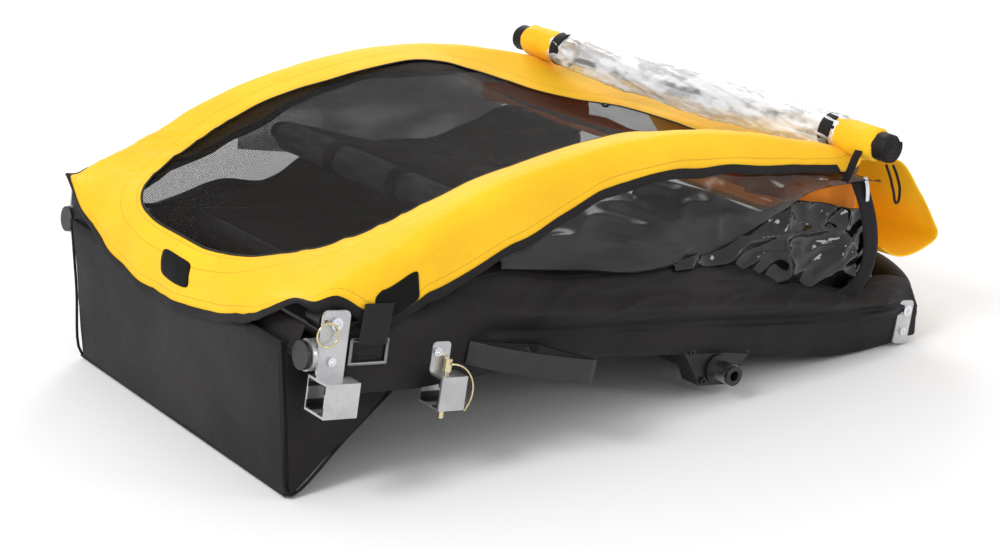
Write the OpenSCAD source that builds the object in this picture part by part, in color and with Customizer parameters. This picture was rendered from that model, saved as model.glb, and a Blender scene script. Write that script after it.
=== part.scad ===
// Folding child bicycle trailer, folded flat, wheels and tow bar taken off.
// Front is -Y, the trailer's own left side is +X, the floor is Z = 0. Millimetres.
// Fittings on the base frame are placed along the side rails: s runs back from
// the front end of a rail and h stands square to the rails.

/* [Base frame] */
// Half the distance between the side rails
rail_half = 292; // [260:1:330]
// Outside diameter of the side rails
rail_d = 28; // [25:1:30]
// Wall of the frame tubes
tube_wall = 2; // [1.2:0.1:3]
// Length of a side rail
rail_len = 912; // [880:1:940]
// Tilt of the base frame as it rests, front end high
pitch = 9.8; // [9:0.1:10.5]
// Height of the rails' front ends
front_h = 177.5; // [175:0.5:190]
// How far the rails' front ends lie ahead of the middle
front_y = 480; // [470:1:495]
// Outside diameter of the cross tubes
cross_d = 24; // [20:1:25]
// Place of the cross tube behind the footwell
mid_cross_s = 184; // [180:1:195]
// Place of the cross tube over the footwell
front_cross_s = 48; // [44:1:52]
// Side of the square axle beam
beam_w = 25; // [20:1:28]

/* [Brackets] */
// Thickness of the bracket plates
plate_t = 3; // [2:0.5:4]
// Wall of the collars round the rail ends
collar_wall = 3.2; // [2.5:0.1:3.2]
// Height of the hoop pivot over the rail
hoop_pivot_h = 39; // [37:1:44]
// Place of the hoop pivot along the rail
hoop_pivot_s = 24; // [22:1:30]
// Height of the seat pivot over the rail
seat_pivot_h = 24; // [23:0.5:30]
// Diameter of the pivot bolts
pivot_bolt_d = 8; // [6:1:8]
// Diameter of the small screws
screw_d = 5; // [4:1:6]

/* [Tow receivers] */
// Clear width and height inside a receiver
recv_bore = 33; // [30:1:34]
// Wall of the receivers
recv_wall = 3; // [2:0.5:4]
// Length of the front receiver
recv_front_len = 42; // [35:1:50]
// Length of the rear receiver
recv_rear_len = 34; // [28:1:36]
// Place of the rear receiver along the rail
recv_rear_s = 158; // [150:1:160]
// Diameter of the hitch pin
hitch_pin_d = 6; // [5:1:8]

/* [Axle sockets] */
// Place of the wheel axles along the rail
axle_s = 590; // [560:1:610]
// Drop of the axles below the rail
axle_drop = 42; // [40:1:46]
// Bore for a 12.7 mm push-button axle
axle_bore_d = 12.9; // [12.8:0.1:13.2]
// Outside diameter of the sleeve
sleeve_d = 26; // [24:1:30]
// How far the sleeve stands out of its housing
sleeve_out = 30; // [24:1:36]

/* [Wheel guards] */
// Place of the guard's front root along the rail
guard_s = 204; // [203:1:206]
// Length of the guard along the rail
guard_len = 138; // [130:1:150]
// How far the guard stands out from the rail
guard_out = 62; // [45:1:64]
// Height of the guard's strip
guard_h = 27; // [22:1:32]
// Thickness of the guard's strip
guard_t = 6; // [4:0.5:8]

/* [Canopy hoop] */
// How far the hoop's arms lie inside the side rails
hoop_inset = 7; // [4:1:12]
// Outside diameter of the hoop tube
hoop_d = 22; // [19:1:23]
// Radius of the arms' long arch
hoop_radius = 863; // [850:1:880]
// Angle of the arch where the arm meets its pivot
hoop_start = -29.2; // [-30:0.1:-28]
// Angle of the arch where the rear corner starts
hoop_end = 22.3; // [21:0.1:24]
// Radius of the hoop's corners
hoop_corner = 50; // [40:1:60]

/* [Seat hoop] */
// How far the seat hoop's arms lie inside the side rails
seat_inset = 35; // [34:1:42]
// Outside diameter of the seat hoop tube
seat_d = 25; // [22:1:25]
// Length from the seat pivot to the crossbar
seat_len = 656; // [630:1:665]
// Angle of the folded seat hoop over the floor
seat_angle = 19.2; // [18.5:0.1:19.5]
// Radius of the seat hoop's corners
seat_corner = 50; // [40:1:60]
// Outside diameter of the foam on the crossbar
foam_d = 38; // [32:1:40]

/* [Fabric] */
// How far the cover hangs over the side rails
cover_over = 8; // [6:1:12]
// Thickness of the cover's cloth
cover_t = 2; // [1.5:0.5:3]
// Drop of the cover's side skirts below the arms' axis
skirt_drop = 38; // [30:1:45]
// Depth of the clear side windows below the skirts
window_drop = 62; // [50:1:70]
// Width of the yellow border beside the mesh screen
screen_border = 85; // [75:1:100]
// How far the footwell's sides lie inside the side rails
footwell_inset = 30; // [27:1:37]
// Height of the footwell's front panel
footwell_front_h = 184; // [175:1:190]
// Wall of the padded cloth panels
panel_t = 4; // [3:0.5:5]
// Outside diameter of the rolled rain cover
roll_d = 42; // [36:1:46]

/* [Hidden] */
$fn = 48;
gap = 0.3;
fit = 0.05;
rail_r = rail_d / 2;
hoop_half = rail_half - hoop_inset;
seat_half = rail_half - seat_inset;
cover_half = rail_half + cover_over;
screen_half = cover_half - screen_border;
footwell_half = rail_half - footwell_inset;
rear_panel_half = rail_half - 56;
seat_base_half = seat_half - 22;
apron_half = cover_half - 4;
flap_half = cover_half - 12;
cross_r = cross_d / 2;
plate_x = rail_half + rail_r + 0.6;
plate_out = plate_x + plate_t;
collar_r = rail_r + gap + collar_wall;
plug_stem = 9;
front_collar_len = 36;
rear_collar_len = 24;
plate_w = 34;
rear_plate_w = 26;
rear_plate_low = 21;
rear_plate_high = 37;
rear_s = rail_len - 14;
recv_w = recv_bore + 2 * recv_wall;
recv_top = -rail_r - 8;
recv_low = recv_top - recv_w;
recv_x = plate_out - recv_wall;
recv_in = plate_out - 18.6;
liner_t = 1.4;
hitch_s = recv_rear_s + 14;
hitch_x = recv_in + recv_w * 0.66;
hitch_top = recv_top + 15;
hitch_low = recv_low - 12;
ring_wire = 2.6;
ring_r = (hitch_top - hitch_low) / 2;
tether_r = 13;
hoop_r = hoop_d / 2;
hoop_pivot = on_rail(hoop_pivot_s, hoop_pivot_h);
arch_y = hoop_pivot[0] - hoop_radius * sin(hoop_start);
arch_z = hoop_pivot[1] - hoop_radius * cos(hoop_start);
eye_w = 28;
eye_r = 14;
socket_len = 34;
socket_angle = 180 * socket_len / (PI * hoop_radius);
bar_angle = hoop_end + atan(hoop_corner / hoop_radius);
bar_y = arch_y + hoop_radius * sin(hoop_end) + hoop_corner * cos(hoop_end);
bar_z = arch_z + hoop_radius * cos(hoop_end) - hoop_corner * sin(hoop_end);
seat_r = seat_d / 2;
seat_pivot_s = rear_s + 1;
seat_pivot = on_rail(seat_pivot_s, seat_pivot_h);
seat_eye_r = 15.5;
seat_eye_w = 30;
seat_socket = 36;
foam_r = foam_d / 2;
foam_len = 118;
foam_pitch = 142;
axle_pivot = on_rail(axle_s, -axle_drop);
housing_w = 30;
housing_x = rail_half + 8;
bush_r = sleeve_d / 2 - 3;
bush_len = 60;
beam_half = housing_x - housing_w - gap;
cover_in = hoop_r + 1;
cover_out = cover_in + cover_t;
screen_front = -395;
screen_rear = 225;
screen_corner = 70;
roll_y = 284;
roll_z = 300.7;
roll_turn = 6.3;
roll_tip = 2.3;
roll_half = cover_half + 38;
strap_x = cover_half - 55;
apron_top = 232;
cover_start = hoop_start + socket_angle + 0.15;
cover_end = bar_angle - 1;
tube_angle = 180 * (eye_r + 1) / (PI * hoop_radius);
flap_y = arch_y + (hoop_radius + cover_out) * sin(cover_end) + gap + 0.3;
flap_z = arch_z + (hoop_radius + cover_in) * cos(cover_end) - gap;
housing_bolt_places = [[-20, -axle_drop - 15], [18, -axle_drop - 17], [-46, -rail_r - 5], [46, -rail_r - 5]];
outer_x = plate_out + gap;
guard_screw = 80;
guard_tilt = 4.5;
loop_r = rail_r + 2.3;
ring_wire_r = 2.2;
tension_x = rail_half + sqrt(pow(loop_r + ring_wire_r + gap, 2) - 49);

// A point of the side plane, from its place along the rail and over it.
function on_rail(s, h) = [-front_y + s * cos(pitch) + h * sin(pitch),
    front_h - s * sin(pitch) + h * cos(pitch)];

module on_frame() {
    translate([0, -front_y, front_h])
        rotate([-pitch, 0, 0])
            children();
}

module flip(side) {
    mirror([side < 0 ? 1 : 0, 0, 0])
        children();
}

// A round bar along X between two places.
module bar_x(x0, x1, r) {
    translate([x0, 0, 0])
        rotate([0, 90, 0])
            cylinder(h = x1 - x0, r = r);
}

// A round bar along Y between two places.
module bar_y(y0, y1, r) {
    translate([0, y0, 0])
        rotate([-90, 0, 0])
            cylinder(h = y1 - y0, r = r);
}

// An outline in Y and Z, drawn out along X between two places.
module profile_x(x0, x1, points) {
    translate([x0, 0, 0])
        rotate([90, 0, 90])
            linear_extrude(x1 - x0)
                polygon(points);
}

module tube_y(y0, y1, r, wall) {
    difference() {
        bar_y(y0, y1, r);
        bar_y(y0 - 1, y1 + 1, r - wall);
    }
}

module tube_x(half, r, wall) {
    difference() {
        bar_x(-half, half, r);
        bar_x(-half - 1, half + 1, r - wall);
    }
}

module rounded_box(size, r) {
    linear_extrude(size[2])
        for (i = [0])
            union() {
                translate([r, 0])
                    square([size[0] - 2 * r, size[1]]);
                translate([0, r])
                    square([size[0], size[1] - 2 * r]);
                for (x = [r, size[0] - r], y = [r, size[1] - r])
                    translate([x, y])
                        circle(r = r);
            }
}

// A band of the arch about the canopy hoop's own centre line.
module arch_band(r0, r1, x0, x1, a0, a1) {
    translate([0, arch_y, arch_z])
        rotate([0, -90, 0])
            rotate([0, 0, a0])
                rotate_extrude(angle = a1 - a0, $fn = 180)
                    translate([r0, -x1])
                        square([r1 - r0, x1 - x0]);
}

module side_rail(side) {
    color("dimgray")
        flip(side)
            on_frame()
                difference() {
                    translate([rail_half, 0, 0])
                        tube_y(0, rail_len, rail_r, tube_wall);
                    screw_bore(hoop_pivot_s, -3);
                    screw_bore(seat_pivot_s, -4);
                    screw_bore(guard_s + guard_screw, -4);
                    if (side > 0)
                        screw_bore(recv_rear_s + 2, 2);
                }
}

module front_cross_tube() {
    color("dimgray")
        on_frame()
            translate([0, front_cross_s, 0])
                tube_x(rail_half - collar_r - gap, cross_r, tube_wall);
}

module mid_cross_tube() {
    color("dimgray")
        on_frame()
            translate([0, mid_cross_s, 0])
                tube_x(rail_half - rail_r - gap, cross_r, tube_wall);
}

module rear_cross_tube() {
    color("dimgray")
        on_frame()
            translate([0, rear_s + 1, -7])
                tube_x(rail_half - collar_r - gap, cross_r, tube_wall);
}

module axle_beam() {
    color("dimgray")
        on_frame()
            translate([-beam_half, axle_s - beam_w / 2, -axle_drop - beam_w / 2])
                difference() {
                    cube([2 * beam_half, beam_w, beam_w]);
                    translate([-1, tube_wall, tube_wall])
                        cube([2 * beam_half + 2, beam_w - 2 * tube_wall, beam_w - 2 * tube_wall]);
                }
}

// A push-in plug: its head covers the tube's end and its stem fills the bore.
module end_plug(y0, way, head_r) {
    bar_y(min(y0, y0 - way * 4), max(y0, y0 - way * 4), head_r);
    bar_y(min(y0, y0 + way * plug_stem), max(y0, y0 + way * plug_stem), rail_r - tube_wall - fit);
}

module rail_front_caps() {
    color("#2b2a2c")
        on_frame()
            for (side = [-1, 1])
                translate([side * rail_half, -gap, 0])
                    end_plug(0, 1, rail_r + 2);
}

module rail_rear_plugs() {
    color("#2b2a2c")
        on_frame()
            for (side = [-1, 1])
                translate([side * rail_half, rail_len + gap, 0])
                    end_plug(0, -1, rail_r - 0.5);
}

module plate_outline(s0, s1, h0, h1, r) {
    translate([plate_x, s0, h0])
        rotate([90, 0, 90])
            rounded_box([s1 - s0, h1 - h0, plate_t], r);
}

module screw_hole(s, h, d) {
    translate([0, s, h])
        bar_x(rail_half - 30, outer_x + 20, d / 2 + 0.2);
}

module receiver_box(s0, len) {
    translate([recv_in, s0, recv_low])
        difference() {
            cube([recv_w, len, recv_w]);
            translate([recv_wall, -1, recv_wall])
                cube([recv_bore, len + 2, recv_bore]);
        }
}

module front_bracket(side) {
    color("#c6c8ca")
        flip(side)
            on_frame()
                difference() {
                    union() {
                        translate([rail_half, 0, 0])
                            bar_y(2, 2 + front_collar_len, collar_r);
                        plate_outline(8, 8 + plate_w, recv_top, hoop_pivot_h + 14, 7);
                        if (side > 0)
                            receiver_box(10, recv_front_len);
                        if (side > 0)
                            translate([plate_x, 10, recv_top - 1])
                                cube([plate_t, plate_w - 2, 12]);
                    }
                    translate([rail_half, 0, 0])
                        bar_y(0, 60, rail_r + gap);
                    screw_hole(hoop_pivot_s, hoop_pivot_h, pivot_bolt_d);
                    screw_hole(hoop_pivot_s, -3, screw_d);
                    if (side > 0)
                        tether_slot();
                }
}

// The eye in the front bracket that carries the tether ring.
module tether_slot() {
    translate([0, 12.6, hoop_pivot_h + 2])
        bar_x(plate_x - 1, outer_x + 2, 2.2);
}

module rear_bracket(side) {
    color("#c6c8ca")
        flip(side)
            on_frame()
                difference() {
                    union() {
                        translate([rail_half, 0, 0])
                            bar_y(rail_len - 1 - rear_collar_len, rail_len - 1, collar_r);
                        plate_outline(rear_s - 12, rear_s + 14, -rear_plate_low, rear_plate_high, 6);
                    }
                    translate([rail_half, 0, 0])
                        bar_y(rail_len - 40, rail_len + 1, rail_r + gap);
                    screw_hole(seat_pivot_s, seat_pivot_h, pivot_bolt_d);
                    screw_hole(seat_pivot_s, -4, screw_d);
                }
}

module tow_receiver_rear() {
    color("#c6c8ca")
        on_frame()
            difference() {
                union() {
                    receiver_box(recv_rear_s, recv_rear_len);
                    plate_outline(recv_rear_s - 4, recv_rear_s + 20, recv_top - 1, rail_r - 1, 5);
                    translate([plate_x, recv_rear_s, recv_top - 1])
                        cube([plate_t, 20, 8]);
                }
                screw_hole(recv_rear_s + 2, 2, screw_d);
                translate([hitch_x, hitch_s, recv_low - 1])
                    cylinder(h = recv_w + 2, d = hitch_pin_d + 2 * fit);
            }
}

// Four corner liners keep the tow bar from rattling in its receiver.
module liners(s0, len) {
    for (i = [0, 1], j = [0, 1])
        translate([recv_in + recv_w / 2, 0, recv_low + recv_w / 2])
            mirror([i, 0, 0])
                mirror([0, 0, j])
                    translate([-recv_bore / 2 + fit, s0 - 1, -recv_bore / 2 + fit])
                        difference() {
                            cube([9, len + 2, 9]);
                            translate([liner_t, -1, liner_t])
                                cube([9, len + 4, 9]);
                        }
}

module front_receiver_liners() {
    color("#222122")
        on_frame()
            liners(10, recv_front_len);
}

module rear_receiver_liners() {
    color("#222122")
        on_frame()
            difference() {
                liners(recv_rear_s, recv_rear_len);
                translate([hitch_x, hitch_s, recv_low - 1])
                    cylinder(h = recv_w + 2, d = hitch_pin_d + 2);
            }
}

// A cross-head screw through a plate into the rail.
module plate_screw(s, h) {
    translate([0, s, h]) {
        bar_x(plate_x - 6, plate_out + 0.1, screw_d / 2);
        difference() {
            bar_x(plate_out + 0.1, plate_out + 3, screw_d);
            translate([plate_out + 2, -0.6, -3.4])
                cube([2, 1.2, 6.8]);
            translate([plate_out + 2, -3.4, -0.6])
                cube([2, 6.8, 1.2]);
        }
    }
}

module screw_bore(s, h) {
    translate([0, s, h])
        bar_x(plate_x - 7, outer_x + 30, screw_d / 2 + 0.1);
}

module frame_screws() {
    color("silver")
        on_frame() {
            for (side = [-1, 1])
                flip(side) {
                    plate_screw(hoop_pivot_s, -3);
                    plate_screw(seat_pivot_s, -4);
                    translate([guard_t - plate_t, 0, 0])
                        plate_screw(guard_s + guard_screw, -4);
                }
            plate_screw(recv_rear_s + 2, 2);
        }
}

// A pivot bolt from the bracket plate in through a hoop's end fitting.
module pivot_bolt(s, h, x_in) {
    translate([0, s, h]) {
        bar_x(x_in - 3, plate_out + 0.1, pivot_bolt_d / 2);
        bar_x(x_in - 6.5, x_in - 0.5, pivot_bolt_d / 2 + 2.5);
        difference() {
            bar_x(plate_out + 0.1, plate_out + 4, pivot_bolt_d / 2 + 3);
            translate([plate_out + 2.6, -0.8, -4])
                cube([3, 1.6, 8]);
            translate([plate_out + 2.6, -4, -0.8])
                cube([3, 8, 1.6]);
        }
    }
}

module hoop_pivot_bolts() {
    color("silver")
        on_frame()
            for (side = [-1, 1])
                flip(side)
                    pivot_bolt(hoop_pivot_s, hoop_pivot_h, hoop_half - eye_w / 2);
}

module seat_pivot_bolts() {
    color("silver")
        on_frame()
            for (side = [-1, 1])
                flip(side)
                    pivot_bolt(seat_pivot_s, seat_pivot_h, seat_half - seat_eye_w / 2);
}

module spacer(s, h, x0, x1) {
    translate([0, s, h])
        difference() {
            bar_x(x0, x1, pivot_bolt_d / 2 + 1.3);
            bar_x(x0 - 1, x1 + 1, pivot_bolt_d / 2 + fit);
        }
}

module pivot_spacers() {
    color("gray")
        on_frame()
            for (side = [-1, 1])
                flip(side) {
                    spacer(hoop_pivot_s, hoop_pivot_h, hoop_half + eye_w / 2 + gap, plate_x - gap);
                    spacer(seat_pivot_s, seat_pivot_h, seat_half + seat_eye_w / 2 + gap,
                        plate_x - gap);
                }
}

module hitch_pin() {
    color("#d9d3b8")
        on_frame()
            translate([hitch_x, hitch_s, 0])
                difference() {
                    union() {
                        translate([0, 0, hitch_low])
                            cylinder(h = hitch_top - hitch_low - 3, d = hitch_pin_d);
                        translate([0, 0, hitch_top - 12])
                            cylinder(h = 15, d = hitch_pin_d + 4);
                    }
                    translate([0, 0, hitch_top - 2])
                        bar_x(-20, 20, ring_wire / 2 + fit);
                }
}

// The wire keeper is hooked through the pin's head and bends back behind the receiver.
module hitch_pin_ring() {
    ring_mid = hitch_top - 2 - ring_r;
    ring_x = hitch_pin_d / 2 + 4.6;
    color("#cfc9b0")
        on_frame()
            translate([hitch_x, hitch_s, ring_mid]) {
                translate([ring_x, 0, 0])
                    rotate([0, -90, 0])
                        rotate([0, 0, -2])
                            rotate_extrude(angle = 134)
                                translate([ring_r, 0])
                                    circle(r = ring_wire / 2);
                translate([0, 0, ring_r])
                    bar_x(-ring_x + 1, ring_x, ring_wire / 2);
            }
}

module tether_ring() {
    color("#b9a878")
        on_frame()
            translate([outer_x + 5.6, 12.6, hoop_pivot_h + 2]) {
                translate([0, 0, -tether_r])
                    rotate([0, 90, 0])
                        rotate_extrude(angle = 360)
                            translate([tether_r, 0])
                                circle(r = 1.1);
                bar_x(-plate_t - 7, 1.6, 1.4);
                bar_x(-plate_t - 7.8, -plate_t - 5.9, 3.2);
            }
}

// A flat rectangular wire ring that joins the cover's strap to the frame's strap.
module tension_ring(side) {
    color("#8f9194")
        flip(side)
            on_frame()
                translate([tension_x, 47, -7])
                    rotate([90, 0, 90])
                        ring_rect(46, 26, ring_wire_r);
}

module ring_rect(w, h, r) {
    translate([0, 0, 0])
        rotate([0, 90, 0])
            cylinder(h = w, r = r);
    translate([0, h, 0])
        rotate([0, 90, 0])
            cylinder(h = w, r = r);
    rotate([-90, 0, 0])
        cylinder(h = h, r = r);
    translate([w, 0, 0])
        rotate([-90, 0, 0])
            cylinder(h = h, r = r);
    for (x = [0, w], y = [0, h])
        translate([x, y, 0])
            sphere(r = r);
}

// Webbing loops round the rails, and the straps that the rings pull on.
module tension_straps() {
    color("#2a282a")
        on_frame()
            for (side = [-1, 1])
                flip(side) {
                    translate([rail_half, 0, 0])
                        difference() {
                            bar_y(54, 86, loop_r);
                            bar_y(53, 87, rail_r + gap);
                        }
                    translate([0, 88, 0])
                        rotate([90, 0, 0])
                            linear_extrude(36)
                                polygon([[tension_x - 1, 21.6], [tension_x + 1, 21.6],
                                    [cover_half + 3.5, 50], [cover_half + 1.5, 50]]);
                }
}

module axle_housing(side) {
    top = -rail_r - gap;
    color("#2c2a2b")
        flip(side)
            on_frame()
                difference() {
                    union() {
                        translate([0, axle_s, 0])
                            profile_x(housing_x - housing_w, housing_x, [[-56, top], [-56, top - 7],
                                [-34, -axle_drop - 6], [-24, -axle_drop - 22], [20, -axle_drop - 22],
                                [36, -axle_drop - 4], [56, top - 7], [56, top]]);
                        translate([0, axle_s, -axle_drop])
                            bar_x(housing_x - 1, housing_x + 4, sleeve_d / 2 + 5);
                    }
                    translate([0, axle_s, -axle_drop])
                        bar_x(housing_x - housing_w - 1, housing_x + 5, sleeve_d / 2 + fit);
                    for (p = housing_bolt_places)
                        translate([0, axle_s + p[0], p[1]])
                            bar_x(housing_x - housing_w - 1, housing_x + 1, screw_d / 2 + 0.2);
                    translate([housing_x - housing_w - 1, axle_s - 40, top - 13])
                        cube([housing_w - 8, 80, 7]);
                }
}

module axle_sleeve(side) {
    color("#97999c")
        flip(side)
            on_frame()
                translate([0, axle_s, -axle_drop])
                    difference() {
                        bar_x(housing_x - housing_w + 2, housing_x + sleeve_out, sleeve_d / 2);
                        bar_x(housing_x - housing_w, housing_x + sleeve_out + 1, bush_r + fit);
                    }
}

module axle_bush(side) {
    tip = housing_x + sleeve_out;
    color("#242324")
        flip(side)
            on_frame()
                translate([0, axle_s, -axle_drop])
                    difference() {
                        union() {
                            bar_x(tip - bush_len + 4, tip + 1, bush_r);
                            bar_x(tip, tip + 4, sleeve_d / 2 - 0.5);
                        }
                        bar_x(tip - bush_len, tip + 5, axle_bore_d / 2);
                    }
}

module housing_bolts() {
    color("#3a393a")
        on_frame()
            for (side = [-1, 1], p = housing_bolt_places)
                flip(side)
                    translate([0, axle_s + p[0], p[1]]) {
                        bar_x(housing_x - housing_w + 9, housing_x + 0.1, screw_d / 2);
                        difference() {
                            bar_x(housing_x + 0.1, housing_x + 3.6, screw_d * 0.85);
                            bar_x(housing_x + 2, housing_x + 4, screw_d * 0.4);
                        }
                    }
}

// A curve from a to c that leans towards b.
function bend(a, b, c, n) = [for (i = [0 : n]) let (t = i / n)
    (1 - t) * (1 - t) * a + 2 * t * (1 - t) * b + t * t * c];

module wheel_guard(side) {
    back = guard_screw + 20;
    outer = concat([[0, 0]],
        bend([3, -2], [guard_out * 0.72, guard_len * 0.26], [guard_out, guard_len - 9], 14),
        [[guard_out - 1.5, guard_len - 2], [guard_out - 7, guard_len], [guard_t, back], [0, back]]);
    inner = concat([[guard_t, guard_t + 5]],
        bend([guard_t + 3, guard_t + 3], [guard_out * 0.72 - guard_t, guard_len * 0.26 + guard_t],
            [guard_out - guard_t, guard_len - 9 - guard_t], 14),
        [[guard_t, back - 8]]);
    color("#2d2c2e")
        flip(side)
            on_frame()
                difference() {
                    translate([plate_x, guard_s, 0])
                        rotate([-guard_tilt, 0, 0])
                            translate([0, 0, 12 - guard_h])
                                linear_extrude(guard_h)
                                    difference() {
                                        polygon(outer);
                                        polygon(inner);
                                    }
                    screw_hole(guard_s + guard_screw, -4, screw_d);
                }
}

// The long arch of one arm of the canopy hoop.
module hoop_arch(a0, a1, r) {
    translate([hoop_half, arch_y, arch_z])
        rotate([0, -90, 0])
            rotate([0, 0, a0])
                rotate_extrude(angle = a1 - a0)
                    translate([hoop_radius, 0])
                        circle(r = r);
}

module hoop_rear(r) {
    straight = hoop_half - hoop_corner;
    translate([0, arch_y + hoop_radius * sin(hoop_end), arch_z + hoop_radius * cos(hoop_end)])
        rotate([-hoop_end, 0, 0]) {
            for (side = [-1, 1])
                flip(side)
                    translate([straight, 0, 0])
                        rotate_extrude(angle = 90)
                            translate([hoop_corner, 0])
                                circle(r = r);
            translate([0, hoop_corner, 0])
                bar_x(-straight, straight, r);
        }
}

// A swaged collar where each arm meets the rear bend.
module hoop_collars() {
    translate([0, arch_y + hoop_radius * sin(hoop_end), arch_z + hoop_radius * cos(hoop_end)])
        rotate([-hoop_end, 0, 0])
            for (side = [-1, 1])
                translate([side * hoop_half, 0, 0])
                    bar_y(-7, 5, hoop_r + 0.8);
}

module canopy_hoop() {
    color("#4a494b")
        difference() {
            union() {
                for (side = [-1, 1])
                    flip(side)
                        hoop_arch(hoop_start + tube_angle, hoop_end, hoop_r);
                hoop_rear(hoop_r);
                hoop_collars();
            }
            for (side = [-1, 1])
                flip(side)
                    hoop_arch(hoop_start + tube_angle - 0.1, hoop_start + tube_angle + 3, hoop_r - tube_wall);
        }
}

module hoop_end(side) {
    color("#2a292b")
        flip(side)
            difference() {
                union() {
                    translate([0, hoop_pivot[0], hoop_pivot[1]])
                        bar_x(hoop_half - eye_w / 2, hoop_half + eye_w / 2, eye_r);
                    hoop_arch(hoop_start, hoop_start + socket_angle, hoop_r + 2.4);
                }
                translate([0, hoop_pivot[0], hoop_pivot[1]])
                    bar_x(hoop_half - eye_w, hoop_half + eye_w, pivot_bolt_d / 2 + fit);
                hoop_arch(hoop_start + tube_angle, hoop_start + socket_angle + 1, hoop_r + fit);
            }
}

// The seat hoop lies in a plane through its pivots: u runs from the pivots to the crossbar.
module on_seat() {
    translate([0, seat_pivot[0], seat_pivot[1]])
        rotate([180 - seat_angle, 0, 0])
            children();
}

module seat_loop(r) {
    straight = seat_half - seat_corner;
    for (side = [-1, 1])
        flip(side) {
            translate([seat_half, 0, 0])
                bar_y(seat_eye_r + 1.5, seat_len - seat_corner, r);
            translate([straight, seat_len - seat_corner, 0])
                rotate_extrude(angle = 90)
                    translate([seat_corner, 0])
                        circle(r = r);
        }
    translate([0, seat_len, 0])
        bar_x(-straight, straight, r);
}

module seat_hoop() {
    color("#4a494b")
        on_seat()
            difference() {
                seat_loop(seat_r);
                for (side = [-1, 1])
                    translate([side * seat_half, 0, 0])
                        bar_y(seat_eye_r, seat_len / 2, seat_r - tube_wall);
            }
}

module seat_end(side) {
    color("#2a292b")
        flip(side)
            on_seat()
                difference() {
                    union() {
                        bar_x(seat_half - seat_eye_w / 2, seat_half + seat_eye_w / 2, seat_eye_r);
                        translate([seat_half, 0, 0])
                            bar_y(0, seat_socket, seat_r + 2.3);
                    }
                    bar_x(seat_half - seat_eye_w, seat_half + seat_eye_w, pivot_bolt_d / 2 + fit);
                    translate([seat_half, 0, 0])
                        bar_y(seat_eye_r + 1.5, seat_socket + 1, seat_r + fit);
                }
}

module crossbar_foam() {
    color("#3d3c40")
        on_seat()
            translate([0, seat_len, 0])
                for (i = [-1, 0, 1])
                    translate([i * foam_pitch, 0, 0])
                        difference() {
                            bar_x(-foam_len / 2, foam_len / 2, foam_r);
                            bar_x(-foam_len / 2 - 1, foam_len / 2 + 1, seat_r + fit);
                        }
}

// Webbing loops in the gaps of the foam, each with a short tail.
module crossbar_loops() {
    color("#252426")
        on_seat()
            translate([0, seat_len, 0])
                for (side = [-1, 1])
                    translate([side * foam_pitch / 2, 0, 0])
                        difference() {
                            union() {
                                bar_x(-10, 10, seat_r + 2.2);
                                translate([-10, -seat_r - 14, seat_r - 3])
                                    cube([20, seat_r + 14, 2]);
                            }
                            bar_x(-11, 11, seat_r + gap);
                        }
}

module seat_back() {
    half = seat_half - seat_r - 0.5;
    top = seat_len - foam_r - 0.4;
    color("#2f2d2f")
        on_seat()
            translate([0, 0, -panel_t / 2])
                linear_extrude(panel_t)
                    polygon([[-half + 8, 45], [half - 8, 45], [half, 53], [half, seat_len - seat_corner - 6],
                        [half - 20, top], [-half + 20, top], [-half, seat_len - seat_corner - 6],
                        [-half, 53]]);
}

module harness_straps() {
    color("#1f1e20")
        on_seat()
            for (x = [-150, -90, 90, 150])
                translate([x - 12.5, 190, panel_t / 2 + gap])
                    cube([25, 390, 2]);
}

module harness_buckle() {
    color("#1b1b1c")
        on_seat()
            for (x = [-120, 120])
                translate([x - 30, 140, panel_t / 2 + gap])
                    rounded_box([60, 44, 12], 8);
}

module seat_base() {
    color("#2f2d2f")
        on_frame()
            translate([-seat_base_half, 500, 1.5 + gap])
                rounded_box([2 * seat_base_half, 340, panel_t], 24);
}

module footwell() {
    color("#332e31")
        difference() {
            profile_x(-footwell_half, footwell_half, [[-490, 0], [-490, footwell_front_h],
                [-314, 150], [-322, 118], [-476, 0]]);
            profile_x(-footwell_half + panel_t, footwell_half - panel_t, [[-490 + panel_t, 4],
                [-490 + panel_t, 200], [-319, 200], [-327, 120], [-479, 4]]);
            on_frame()
                translate([0, front_cross_s, 0])
                    bar_x(-rail_half, rail_half, cross_r + gap);
        }
}

module floor_panel() {
    half = rail_half - rail_r - gap;
    front = mid_cross_s + cross_r + gap;
    color("#332f31")
        on_frame()
            translate([-half, front, -1.5])
                cube([2 * half, rear_s - 13.5 - front, 3]);
}

module side_panel(side) {
    color("#2d2a2c")
        flip(side)
            profile_x(rail_half - 12, rail_half + 13, [on_rail(122, rail_r + 0.5), on_rail(112, rail_r + 26),
                [-325, 205], [-140, 222], [-100, 213], [0, 216], [100, 205], [200, 182], [288, 148],
                [350, 112], [378, 90], on_rail(880, rail_r + 30), on_rail(880, rail_r + 0.5)]);
}

module rear_panel() {
    color("#2d2a2c")
        profile_x(-rear_panel_half, rear_panel_half, [[417.4, 3], [462, 3], [474, 40], [458, 92], [426, 100], [417.4, 60]]);
}

module front_apron() {
    color("gold")
        profile_x(-apron_half, apron_half, [[-490, footwell_front_h + gap], [-487, footwell_front_h + gap],
            [-466, apron_top], [-468, apron_top + 1]]);
}

module screen_outline(shrink) {
    w = 2 * (screen_half - shrink);
    l = screen_rear - screen_front - 2 * shrink;
    translate([-w / 2, screen_front + shrink, 100])
        rounded_box([w, l, 400], screen_corner);
}

module canopy_cover() {
    r = hoop_radius;
    color("gold")
        difference() {
            union() {
                arch_band(r + cover_in, r + cover_out, -cover_half, cover_half, cover_start, cover_end);
                for (side = [-1, 1])
                    flip(side)
                        arch_band(r - skirt_drop, r + cover_out, cover_half - 2.4, cover_half,
                            cover_start, cover_end);
            }
            screen_outline(0);
        }
}

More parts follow.
